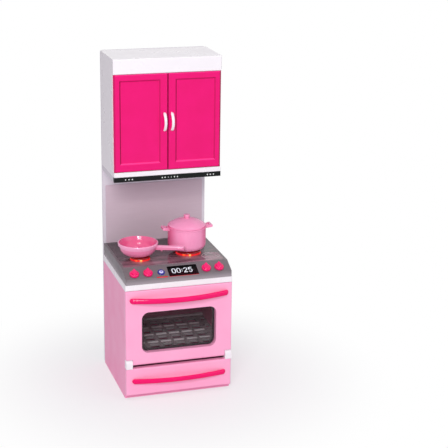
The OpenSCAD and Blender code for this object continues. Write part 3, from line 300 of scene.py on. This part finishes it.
# %% [markdown]
# The deck's front lip is painted a little lighter than the panel above it, a painted highlight on its
# edge. The cupboard doors' recessed panels are only half a millimetre deep, and the bevel round them is
# painted by the way it faces: a darker line at the top and sides as painted shade, and a lighter one at the
# foot as painted highlight.

# %% Deck and cupboard doors
LIP_LOW, LIP_HIGH = 110.5, 115.5
deck_grey = moulded("moulded_ABS_deck_grey", "776F73", "71696E", rough=0.36, specular=0.3)
# Painted highlight: the lip, below LIP_HIGH, is lighter than the panel.
retone(deck_grey, by_height(LIP_LOW, LIP_HIGH), "A39AA0")

# Painted shade and highlight on the bevels: darker where they face sideways or down, lighter facing up.
BEVEL_SHADE_AND_HIGHLIGHT = (((-1, 0, 0), "D20864"), ((1, 0, 0), "A80549"), ((0, 0, -1), "C4065A"), ((0, 0, 1), "FF3690"))
door_magenta = moulded("moulded_ABS_door_magenta", "ED0976", "E90671", rough=0.36, specular=0.22)
for way, colour in BEVEL_SHADE_AND_HIGHLIGHT:
    retone(door_magenta, by_direction(way, 0.08, 0.35), colour)
print("bevel tones:", len(BEVEL_SHADE_AND_HIGHLIGHT))

# %% [markdown]
# Behind its smoked window the oven is painted darker at the top, as painted shade, and lighter on its
# floor, as painted light. The rack is painted pale on its bars and rear rail, a painted highlight, and darker
# on the plate between them, as painted shade. The rack's own height places both.

# %% Oven and rack
RAIL_RISE = 2.0
rack_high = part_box("oven_rack")[1].z / MM
plate_z = rack_high - RAIL_RISE
# Painted shade in the darker base tone of the upper oven; the pink below the rack's plate is painted light.
oven_pink = moulded("moulded_ABS_oven_pink", "D38DA5", "CB859D", rough=0.45)
retone(oven_pink, by_height(plate_z - 1.0, plate_z + 1.0), "FFAACB")
# Painted highlight on the bars and rail in the pale base; painted shade on the plate in the darker tone.
rack_grey = moulded("moulded_ABS_rack_grey", "E4DFE2", "DDD8DB", rough=0.3, cloud_mm=6.0)
retone(rack_grey, by_height(plate_z + 0.1, plate_z + 0.4), "A59DA1")
print("the rack's plate lies", round(plate_z, 1), "mm up")

# %% [markdown]
# The pan's bowl is painted a deeper pink inside, as painted shade, and so is the part below the band of
# its rim. The pot's two flanks are painted deeper as well, as painted shade. The pan is the more polished of
# the two, so that the lamps show in its bowl as small white glints.

# %% Cookware
LEFT_FLANK, RIGHT_FLANK = (-0.95, 0.3, 0), (0.95, -0.3, 0)
# Painted shade: the pot's flanks turn deeper pink where they face left or right.
retone(cookware_pink, by_direction(LEFT_FLANK, 0.5, 0.95), "F45C97")
retone(cookware_pink, by_direction(RIGHT_FLANK, 0.75, 0.98), "F0639B")

RIM_BAND, OVER_RIM = 4.6, 3.0
pan_pink = moulded("moulded_polypropylene_pan_pink", "FFAED2", "FDA8CE", rough=0.13, drift=0.03, cloud_mm=9.0,
                   ior=1.49, specular=0.5)
pan_low, pan_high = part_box("pan")
rim_z = pan_high.z / MM
bowl_r = (pan_high.y - pan_low.y) / 2
over_bowl = Vector((pan_low.x + bowl_r, (pan_low.y + pan_high.y) / 2, pan_high.z + OVER_RIM * MM))
# Painted shade below the pan's rim band and inside its bowl.
retone(pan_pink, by_height(rim_z - RIM_BAND, rim_z - RIM_BAND + 0.8), "F488B3")
retone(pan_pink, towards(over_bowl, 0.45, 0.62), "F0689C")
print("the bowl is", round(2 * bowl_r / MM, 1), "mm across")

# %% [markdown]
# The hob is a polished plate of smoked polystyrene, glossier than the deck round it, so that it mirrors
# the pans and the wall like the glass hob that it copies. Its smoke is marbled in long streaks from left
# to right, and the paler streaks are partly a painted reflection. It is painted darker from the front border
# to the back, as painted shade. The flanks of the moulded rings are drawn paler by the direction that the
# surface faces, a painted highlight.

# %% Smoked hob
HOB_FRONT, HOB_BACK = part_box("hob_plate")[0].y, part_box("hob_plate")[1].y
smoked_plate = bpy.data.materials.new("polished_smoked_polystyrene")
smoked_plate.use_nodes = True
tree = smoked_plate.node_tree
tree.nodes.clear()
where = add(tree, "ShaderNodeTexCoord").outputs["Object"]
drawn_out = add(tree, "ShaderNodeMapping", {"Vector": where, "Scale": (0.22, 1.0, 1.0)})
# The marbled streaks are smoke tone and partly a painted reflection.
marble = add(tree, "ShaderNodeTexNoise", {"Vector": drawn_out.outputs[0], "Scale": 1000 / 6.0, "Detail": 3.0,
                                          "Distortion": 0.15})
parts = add(tree, "ShaderNodeSeparateXYZ", {"Vector": where})
# Painted shade: darker from the front border to the back.
painted_back_shade = add(tree, "ShaderNodeMapRange", {"Value": parts.outputs["Y"], "From Min": HOB_FRONT,
                                         "From Max": HOB_BACK, "To Min": 0.36, "To Max": -0.36})
smoke_and_painted_shade = add(tree, "ShaderNodeMath", {0: marble.outputs["Fac"], 1: painted_back_shade.outputs[0]}, operation="ADD")
shade = add(tree, "ShaderNodeValToRGB", {"Fac": smoke_and_painted_shade.outputs[0]})
shade.color_ramp.elements[0].position, shade.color_ramp.elements[0].color = 0.2, linear("261F22")
shade.color_ramp.elements[1].position, shade.color_ramp.elements[1].color = 0.95, linear("A07784")
shade.color_ramp.elements.new(0.6).color = linear("503F46")
faces = add(tree, "ShaderNodeSeparateXYZ", {"Vector": add(tree, "ShaderNodeTexCoord").outputs["Normal"]})
# Painted highlight: the flanks of the moulded rings are paler.
flank = add(tree, "ShaderNodeMapRange", {"Value": faces.outputs["Z"], "From Min": 0.8, "From Max": 0.98,
                                         "To Min": 0.75, "To Max": 0.0})
ring_flank_highlight = add(tree, "ShaderNodeMix", {"Factor": flank.outputs[0], 6: shade.outputs[0], 7: linear("C9B7BF")},
            data_type="RGBA")
polish = add(tree, "ShaderNodeMapRange", {"Value": marble.outputs["Fac"], "To Min": 0.08, "To Max": 0.22})
plate = add(tree, "ShaderNodeBsdfPrincipled", {"Base Color": ring_flank_highlight.outputs[2], "Roughness": polish.outputs[0],
                                               "IOR": 1.57})
add(tree, "ShaderNodeOutputMaterial", {"Surface": plate.outputs[0]})
print("hob plate from y =", round(HOB_FRONT / MM, 1), "to", round(HOB_BACK / MM, 1), "mm")

# %% [markdown]
# The clock sits behind a small flat window of black acrylic, polished and without any grain.

# %% Black clock window
clock_black = moulded("polished_black_acrylic", "060608", "08080A", rough=0.1, drift=0.02, grain=0.0, ior=1.49,
                      specular=0.15)
print("clock window:", clock_black.name)

# %% [markdown]
# The window is a thin smoked sheet that still lets the rack show. A real pane absorbs a share of the
# light on its way in and out. A part-clear surface does the same here: its alpha is that share, and the
# gloss lies on top.

# %% Smoked window sheet
window_sheet = bpy.data.materials.new("smoked_PET_sheet")
window_sheet.use_nodes = True
tree = window_sheet.node_tree
tree.nodes.clear()
where = add(tree, "ShaderNodeTexCoord").outputs["Object"]
ripple = add(tree, "ShaderNodeTexNoise", {"Vector": where, "Scale": 1000 / 25.0, "Detail": 1.0})
waves = add(tree, "ShaderNodeBump", {"Height": ripple.outputs["Fac"], "Strength": 0.12, "Distance": 0.4 * MM})
pane = add(tree, "ShaderNodeBsdfPrincipled", {"Base Color": linear("1C171C"), "Roughness": 0.06, "IOR": 1.57,
                                              "Alpha": 0.11, "Normal": waves.outputs[0]})
add(tree, "ShaderNodeOutputMaterial", {"Surface": pane.outputs[0]})
print("window lets through", 1 - pane.inputs["Alpha"].default_value)

# %% [markdown]
# The burner caps are clear red plastic over small lamps. Where a lamp stands close behind the wall the
# cap burns out to yellow, and it falls off to deep red round it. The glow fills the foot of the wall, and the
# upper part is kept dark, which also serves as painted shade under the pan and the pot. The distance to
# each lamp's place and the height over the hob, in the model's own coordinates, drive the colour and the
# strength of the glow.

# %% Lit burner caps
FRONT_LAMPS = ((-126, 0.7), (-98, 1.0))
WALL_IN, LAMP_UP, GLOW_REACH, DARK_FROM = 1.5 * MM, 0.7 * MM, 3.0 * MM, 1.6 * MM
HOB_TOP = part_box("hob_plate")[1].z


def lit_cap(name, node):
    """Red cap with hot spots where its front lamps shine through the wall."""
    low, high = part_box(node)
    centre, radius = (low + high) / 2, (high.x - low.x) / 2 - WALL_IN
    made = bpy.data.materials.new(name)
    made.use_nodes = True
    tree = made.node_tree
    tree.nodes.clear()
    where = add(tree, "ShaderNodeTexCoord").outputs["Object"]
    heat = None
    for turn, share in FRONT_LAMPS:
        angle = math.radians(turn)
        spot = Vector((centre.x + radius * math.cos(angle), centre.y + radius * math.sin(angle),
                       HOB_TOP + LAMP_UP))
        away = add(tree, "ShaderNodeVectorMath", {0: where, 1: spot}, operation="DISTANCE")
        near = add(tree, "ShaderNodeMapRange", {"Value": away.outputs["Value"], "From Min": 0.0,
                                                "From Max": GLOW_REACH, "To Min": share, "To Max": 0.0},
                   interpolation_type="SMOOTHERSTEP")
        heat = near.outputs[0] if heat is None else add(
            tree, "ShaderNodeMath", {0: heat, 1: near.outputs[0]}, operation="MAXIMUM").outputs[0]
    ramp = add(tree, "ShaderNodeValToRGB", {"Fac": heat})
    ramp.color_ramp.elements[0].color = linear("E8121E")
    ramp.color_ramp.elements[1].color = linear("FFD27A")
    for place, colour in ((0.5, "FF3620"), (0.8, "FF7A30")):
        ramp.color_ramp.elements.new(place).color = linear(colour)
    height = add(tree, "ShaderNodeSeparateXYZ", {"Vector": where})
    # Painted shade: the glow fades to almost nothing above the foot, leaving the upper wall dark under the pan
    # and pot.
    foot = add(tree, "ShaderNodeMapRange", {"Value": height.outputs["Z"], "From Min": HOB_TOP + LAMP_UP,
                                            "From Max": HOB_TOP + DARK_FROM, "To Min": 1.0, "To Max": 0.04},
               interpolation_type="SMOOTHSTEP")
    burn = add(tree, "ShaderNodeMapRange", {"Value": heat, "To Min": 0.85, "To Max": 1.3})
    power = add(tree, "ShaderNodeMath", {0: burn.outputs[0], 1: foot.outputs[0]}, operation="MULTIPLY")
    cap = add(tree, "ShaderNodeBsdfPrincipled", {"Base Color": linear("8A0C12"), "Roughness": 0.25, "IOR": 1.58,
                                                 "Emission Color": ramp.outputs[0],
                                                 "Emission Strength": power.outputs[0]})
    add(tree, "ShaderNodeOutputMaterial", {"Surface": cap.outputs[0]})
    return made


cap_finish = {node: lit_cap("clear_red_polycarbonate_" + side, node)
              for side, node in (("left", "burner_cap_left"), ("right", "burner_cap_right"))}
print("burner caps:", list(cap_finish))

# %% [markdown]
# The cupboard's lining, its shelves and the sheet behind the hob are board with a printed skin. Board is
# matt, and its fibres show as short streaks.

# %% Printed board


def board(name, colour, cloud, fibre_mm):
    """Printed board: matt, with short fibres that show as streaks along its width."""
    made = bpy.data.materials.new(name)
    made.use_nodes = True
    tree = made.node_tree
    tree.nodes.clear()
    where = add(tree, "ShaderNodeTexCoord").outputs["Object"]
    along = add(tree, "ShaderNodeMapping", {"Vector": where, "Scale": (0.12, 1.0, 1.0)})
    fibres = add(tree, "ShaderNodeTexNoise", {"Vector": along.outputs[0], "Scale": 1000 / fibre_mm,
                                              "Detail": 4.0})
    tint = add(tree, "ShaderNodeMix", {"Factor": fibres.outputs["Fac"], 6: linear(colour), 7: linear(cloud)},
               data_type="RGBA")
    bump = add(tree, "ShaderNodeBump", {"Height": fibres.outputs["Fac"], "Strength": 0.15,
                                        "Distance": 0.1 * MM})
    skin = add(tree, "ShaderNodeBsdfPrincipled", {"Base Color": tint.outputs[2], "Roughness": 0.62, "IOR": 1.5,
                                                  "Normal": bump.outputs[0]})
    add(tree, "ShaderNodeOutputMaterial", {"Surface": skin.outputs[0]})
    return made


brown_board = board("printed_greyboard_brown", "4A2010", "6A3218", 0.9)
tan_board = board("printed_greyboard_tan", "D79872", "E3AB88", 0.9)
lavender_sheet = board("printed_card_lavender", "C9B5C0", "CFBCC7", 1.4)
print("boards:", [made.name for made in (brown_board, tan_board, lavender_sheet)])

# %% [markdown]
# Screws and battery contacts are zinc-plated steel. The plating's fine spangle makes the gloss uneven.

# %% Plated steel
SPANGLE_MM = 0.6
plated_steel = bpy.data.materials.new("zinc_plated_steel")
plated_steel.use_nodes = True
tree = plated_steel.node_tree
tree.nodes.clear()
where = add(tree, "ShaderNodeTexCoord").outputs["Object"]
spangle = add(tree, "ShaderNodeTexNoise", {"Vector": where, "Scale": 1000 / SPANGLE_MM, "Detail": 2.0})
dull = add(tree, "ShaderNodeMapRange", {"Value": spangle.outputs["Fac"], "To Min": 0.22, "To Max": 0.42})
metal = add(tree, "ShaderNodeBsdfPrincipled", {"Base Color": linear("C9CBCF"), "Metallic": 1.0,
                                               "Roughness": dull.outputs[0]})
add(tree, "ShaderNodeOutputMaterial", {"Surface": metal.outputs[0]})
print("metal:", plated_steel.name)

# %% [markdown]
# The working parts inside keep to the same recipe as the mouldings, with their own colours and grain: a
# green circuit board, a bare tan board for the switch, vinyl wire, the sleeves of the cells and the
# epoxy of the small lamps.

# %% Electronics
green_mask = moulded("solder_mask_green_board", "1E5A2C", "2A6C38", rough=0.35, cloud_mm=5.0, grain=0.15)
bare_board = moulded("phenolic_board_tan", "B98F58", "A97F4A", rough=0.55, cloud_mm=4.0, grain=0.2)
vinyl = moulded("extruded_vinyl_wire", "B3201F", "A81B1B", rough=0.4, cloud_mm=8.0)
cell_jacket = moulded("shrink_sleeve_blue", "2D5DA6", "3566B0", rough=0.2, cloud_mm=10.0)
lamp_epoxy = moulded("clear_epoxy_lamp", "FFE9A8", "FFF0C0", rough=0.12, grain=0.0)
print("materials so far:", len(bpy.data.materials))

# %% [markdown]
# The control panel slopes back, so what is printed on it is drawn flat and then laid on the slope. The
# panel's own frame has x to the right, y up the slope and z out of it, and starts at the front crease.

# %% The panel's frame
PANEL_RUN, PANEL_RISE, LIP_Z = 14.5, 6.5, 115.0
slope = math.atan2(PANEL_RISE, PANEL_RUN)
panel_length = math.hypot(PANEL_RUN, PANEL_RISE)


def on_panel(x, s, height=0.0):
    """Matrix that lays a drawing in metres on the sloped panel, x and s being millimetres."""
    base = Matrix.Translation(at(x, 0, LIP_Z)) @ Matrix.Rotation(slope, 4, "X")
    return base @ Matrix.Translation(Vector((0, s * MM, height * MM)))


print("the panel slopes", round(math.degrees(slope), 1), "degrees and is", round(panel_length, 1), "mm long")

# %% [markdown]
# The round button is clear acrylic over a blue stem. The stem shows through the middle as a soft blue
# spot, and the rim stays pale. The distance from the stem's own axis, which stands square on the sloped
# panel, makes the spot.

# %% Button lens
button_low, button_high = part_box("push_button")
stem = (button_low + button_high) / 2
stem_way = Vector((0, -math.sin(slope), math.cos(slope)))
SPOT_R, SPOT_END = 0.4 * MM, 1.3 * MM
lens = bpy.data.materials.new("clear_acrylic_button_lens")
lens.use_nodes = True
tree = lens.node_tree
tree.nodes.clear()
where = add(tree, "ShaderNodeTexCoord").outputs["Object"]
off = add(tree, "ShaderNodeVectorMath", {0: where, 1: stem}, operation="SUBTRACT")
across = add(tree, "ShaderNodeVectorMath", {0: off.outputs[0], 1: stem_way}, operation="CROSS_PRODUCT")
away = add(tree, "ShaderNodeVectorMath", {0: across.outputs[0]}, operation="LENGTH")
spot = add(tree, "ShaderNodeMapRange", {"Value": away.outputs["Value"], "From Min": SPOT_R,
                                        "From Max": SPOT_END}, interpolation_type="SMOOTHSTEP")
tint = add(tree, "ShaderNodeMix", {"Factor": spot.outputs[0], 6: linear("5A62D8"), 7: linear("DCD9FA")},
           data_type="RGBA")
cover = add(tree, "ShaderNodeBsdfPrincipled", {"Base Color": tint.outputs[2], "Roughness": 0.3, "IOR": 1.49,
                                               "Specular IOR Level": 0.25})
add(tree, "ShaderNodeOutputMaterial", {"Surface": cover.outputs[0]})
print("button lens is", round((button_high.x - button_low.x) / MM, 1), "mm across")

# %% [markdown]
# Each CAD node keeps its own shape and place, and only the material in its slot changes.

# %% Dress the CAD nodes
FINISH = {
    light_pink: ["oven_door", "oven_door_inner", "drawer_front"],
    shell_pink: ["range_shell", "drawer_tray"],
    oven_pink: ["oven_box"],
    hot_pink: ["oven_door_handle", "drawer_handle"],
    door_magenta: ["cupboard_door_left", "cupboard_door_right"],
    knob_pink: ["knob_1", "knob_2", "knob_3", "knob_4"],
    cookware_pink: ["pot", "pot_lid"],
    pan_pink: ["pan"],
    white_plastic: ["hinge_bracket_left", "hinge_bracket_right", "worktop_trim", "cupboard_shell",
                    "bow_handle_left", "bow_handle_right"],
    deck_grey: ["control_deck"],
    rack_grey: ["oven_rack"],
    pale_back: ["back_panel", "battery_cover", "hood_tray"],
    strip_black: ["hood_strip"],
    box_black: ["battery_box"],
    navy_plastic: ["button_bezel"],
    speaker_black: ["speaker"],
    smoked_plate: ["hob_plate"],
    clock_black: ["clock_window"],
    window_sheet: ["oven_window"],
    brown_board: ["cupboard_liner"],
    tan_board: ["cupboard_frame", "shelf", "divider"],
    lavender_sheet: ["splashback"],
    plated_steel: ["board_screws", "battery_contacts", "battery_screw", "back_screws"],
    green_mask: ["circuit_board"],
    bare_board: ["button_switch"],
    vinyl: ["wires"],
    cell_jacket: ["batteries"],
    lens: ["push_button"],
    lamp_epoxy: ["burner_lamps"],
}
FINISH.update({finish: [node] for node, finish in cap_finish.items()})
for finish, names in FINISH.items():
    for name in names:
        NODES[name].data.materials.clear()
        NODES[name].data.materials.append(finish)
dressed = sum(FINISH.values(), [])
print("dressed", len(dressed), "of", len(NODES), "nodes; left over:", sorted(set(NODES) - set(dressed)))

# %% [markdown]
# A detail drawn here becomes a piece: it gets its material, rides on the body that it is printed on, and
# takes the slot of that finish.

# %% From drawing to piece


def keep(shape, name, material, body):
    """Turns a drawing in the model's frame into a piece that rides on a body."""
    mesh = bpy.data.meshes.new(name)
    bmesh.ops.recalc_face_normals(shape, faces=shape.faces)
    shape.to_mesh(mesh)
    shape.free()
    piece = bpy.data.objects.new(name, mesh)
    bpy.context.scene.collection.objects.link(piece)
    mesh.materials.append(material)
    for face in mesh.polygons:
        face.use_smooth = True
    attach(piece, body)


print("pieces from CAD:", len(NODES))

# %% [markdown]
# Screen-printed marks are a thin, matt layer of ink. The clock's numerals are lit instead: white shapes
# that glow behind the black window.

# %% Inks and lit numerals


def ink(name, colour, glow=0.0):
    """Screen ink with an uneven edge of gloss, or a lit shape if it glows."""
    made = bpy.data.materials.new(name)
    made.use_nodes = True
    tree = made.node_tree
    tree.nodes.clear()
    where = add(tree, "ShaderNodeTexCoord").outputs["Object"]
    mesh_marks = add(tree, "ShaderNodeTexNoise", {"Vector": where, "Scale": 1000 / 0.35, "Detail": 1.0})
    dull = add(tree, "ShaderNodeMapRange", {"Value": mesh_marks.outputs["Fac"], "To Min": 0.4, "To Max": 0.6})
    layer = add(tree, "ShaderNodeBsdfPrincipled", {"Base Color": linear(colour), "Roughness": dull.outputs[0],
                                                   "Emission Color": linear(colour), "Emission Strength": glow})
    add(tree, "ShaderNodeOutputMaterial", {"Surface": layer.outputs[0]})
    return made


lit_white = ink("lit_white_numerals", "E6E9F0", glow=0.24)
red_ink = ink("screen_ink_red", "F01828")
white_ink = ink("screen_ink_white", "E9ECEA")
print("inks:", [made.name for made in (lit_white, red_ink, white_ink)])

# %% [markdown]
# A numeral is a stroke: a path that a round pen follows. Each path is a few points, with more of them
# round a bend. A round pen leaves a disc at each point and a bar between two, so the bends have no gaps
# and the strokes stay clean at any size.

# %% Strokes of the numerals
DIGIT_W, DIGIT_H, PEN_R = 2.9, 5.4, 0.42


def arc(cx, cy, rx, ry, start, end, steps=10):
    """Points on part of an ellipse, in degrees."""
    turns = [math.radians(start + (end - start) * i / steps) for i in range(steps + 1)]
    return [(cx + rx * math.cos(t), cy + ry * math.sin(t)) for t in turns]


w, h = DIGIT_W, DIGIT_H
half = w / 2
STROKES = {
    "0": arc(half, h - half, half, half, 180, 0) + arc(half, half, half, half, 0, -180) + [(0, h - half)],
    "2": arc(half, h - half, half, half, 165, -30) + [(0.1, 0.1), (0, 0), (w, 0)],
    "5": [(w * 0.95, h), (w * 0.08, h), (0, h * 0.56)] + arc(half, h * 0.33, half, h * 0.33, 125, -140, 14),
}


def stroke(shape, path, pen):
    """Sweeps a flat ribbon with round joins along a path: a disc at each point, a bar between two."""
    for x, y in path:
        bmesh.ops.create_circle(shape, cap_ends=True, radius=pen * MM, segments=20,
                                matrix=Matrix.Translation((x * MM, y * MM, 0)))
    for (x0, y0), (x1, y1) in zip(path, path[1:]):
        length = math.hypot(x1 - x0, y1 - y0)
        turn = Matrix.Rotation(math.atan2(y1 - y0, x1 - x0), 4, "Z")
        bar = Matrix.Translation(((x0 + x1) / 2 * MM, (y0 + y1) / 2 * MM, 0)) @ turn
        size = Matrix.Diagonal((length * MM, 2 * pen * MM, 1, 1))
        bmesh.ops.create_grid(shape, x_segments=1, y_segments=1, size=0.5, matrix=bar @ size)


print("numerals drawn:", sorted(STROKES))

# %% [markdown]
# The digits are set side by side with a colon between them, and then laid on the clock's window together.

# %% Clock numerals
CLOCK_X, CLOCK_S, CLOCK_TOP = 4.0, 0.434 * panel_length, 0.3
DIGIT_GAP, COLON_W, COLON_X, INK_UP = 0.75, 1.9, 0.2, 0.06
numerals = bmesh.new()
pen_x = 0.0
for character in "00:25":
    if character == ":":
        for y in (h * 0.3, h * 0.7):
            bmesh.ops.create_circle(numerals, cap_ends=True, radius=PEN_R * MM, segments=20,
                                    matrix=Matrix.Translation(((pen_x + COLON_X) * MM, y * MM, 0)))
        pen_x += COLON_W
        continue
    digit = bmesh.new()
    stroke(digit, STROKES[character], PEN_R)
    bmesh.ops.translate(digit, verts=digit.verts, vec=(pen_x * MM, 0, 0))
    held = bpy.data.meshes.new("held")
    digit.to_mesh(held)
    numerals.from_mesh(held)
    bpy.data.meshes.remove(held)
    digit.free()
    pen_x += w + 2 * PEN_R + DIGIT_GAP
total = pen_x - DIGIT_GAP - 2 * PEN_R
bmesh.ops.transform(numerals, verts=numerals.verts,
                    matrix=on_panel(CLOCK_X - total / 2, CLOCK_S - h / 2, CLOCK_TOP + INK_UP))
keep(numerals, "clock_numerals", lit_white, "unit")
print("numerals are", round(total, 1), "mm wide")

# %% [markdown]
# The window sheet has a dark printed border on its back, which hides the edge of the frame behind it. A
# flat rectangle gets round corners from a vertex bevel, and an inset leaves the border as a ring.

# %% Window border
WINDOW_W, WINDOW_H, WINDOW_R, BORDER = 69.0, 38.4, 6.3, 2.3
sheet_low, sheet_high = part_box("oven_window")
middle = (sheet_low + sheet_high) / 2
border = bmesh.new()
bmesh.ops.create_grid(border, x_segments=1, y_segments=1, size=0.5,
                      matrix=Matrix.Diagonal((WINDOW_W * MM, WINDOW_H * MM, 1, 1)))
bmesh.ops.bevel(border, geom=border.verts[:], offset=WINDOW_R * MM, offset_type="OFFSET", affect="VERTICES",
                segments=8, profile=0.5, material=-1)
bmesh.ops.inset_region(border, faces=border.faces[:], thickness=BORDER * MM, use_even_offset=True,
                       use_boundary=True)
inner = max(border.faces, key=lambda face: len(face.verts))
bmesh.ops.delete(border, geom=[inner], context="FACES")
upright = Matrix.Rotation(math.pi / 2, 4, "X")
behind = Matrix.Translation((middle.x, sheet_high.y + INK_UP * MM, middle.z))
bmesh.ops.transform(border, verts=border.verts, matrix=behind @ upright)
border_ink = ink("screen_ink_smoke", "3C3538")
keep(border, "window_border", border_ink, "oven_door")
print("border:", BORDER, "mm wide, on the back of a sheet of", WINDOW_W, "by", WINDOW_H, "mm")

# %% [markdown]
# A short red dash is printed under the button, and a thin red line runs on along the foot of the clock.
# Each is a flat bar, given by its two ends, its width and its height up the slope.

# %% Red line
RED_LINES = [((-20.6, -10.4), 1.3, 0.7), ((-9.2, 18.2), 0.35, 0.4)]
LINE_THICK = 0.16
line = bmesh.new()
for (x0, x1), width, s in RED_LINES:
    before = set(line.verts)
    bmesh.ops.create_cube(line, size=1)
    new = [v for v in line.verts if v not in before]
    bar = Matrix.Diagonal(((x1 - x0) * MM, width * MM, LINE_THICK * MM, 1))
    bmesh.ops.transform(line, verts=new, matrix=on_panel((x0 + x1) / 2, s, 0.0) @ bar)
keep(line, "red_line", red_ink, "unit")
print("red bars:", len(RED_LINES))

# %% [markdown]
# The hood strip has three groups of small round marks, like the switches of a cooker hood. Two in the
# middle group are fainter, and are drawn smaller.

# %% Hood marks
strip_low, strip_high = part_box("hood_strip")
marks = bmesh.new()
FULL_R, FAINT_R, MARK_OUT = 0.58, 0.36, 0.04
MARKS = [(x, FULL_R) for x in (-39.2, -36.1, -33.0, -5.4, -2.8, 6.0, 8.7, 36.9, 39.7, 42.6)]
MARKS += [(x, FAINT_R) for x in (0.2, 3.0)]
for x, mark_r in MARKS:
    face = Matrix.Translation((x * MM, strip_low.y - MARK_OUT * MM, (strip_low.z + strip_high.z) / 2))
    bmesh.ops.create_circle(marks, cap_ends=True, radius=mark_r * MM, segments=20, matrix=face @ upright)
keep(marks, "hood_marks", white_ink, "unit")
print("marks:", len(MARKS))

# %% [markdown]
# Last, the plain view transform shows each colour as it is written.

# %% Close the scene
bpy.context.scene.view_settings.view_transform = "Standard"
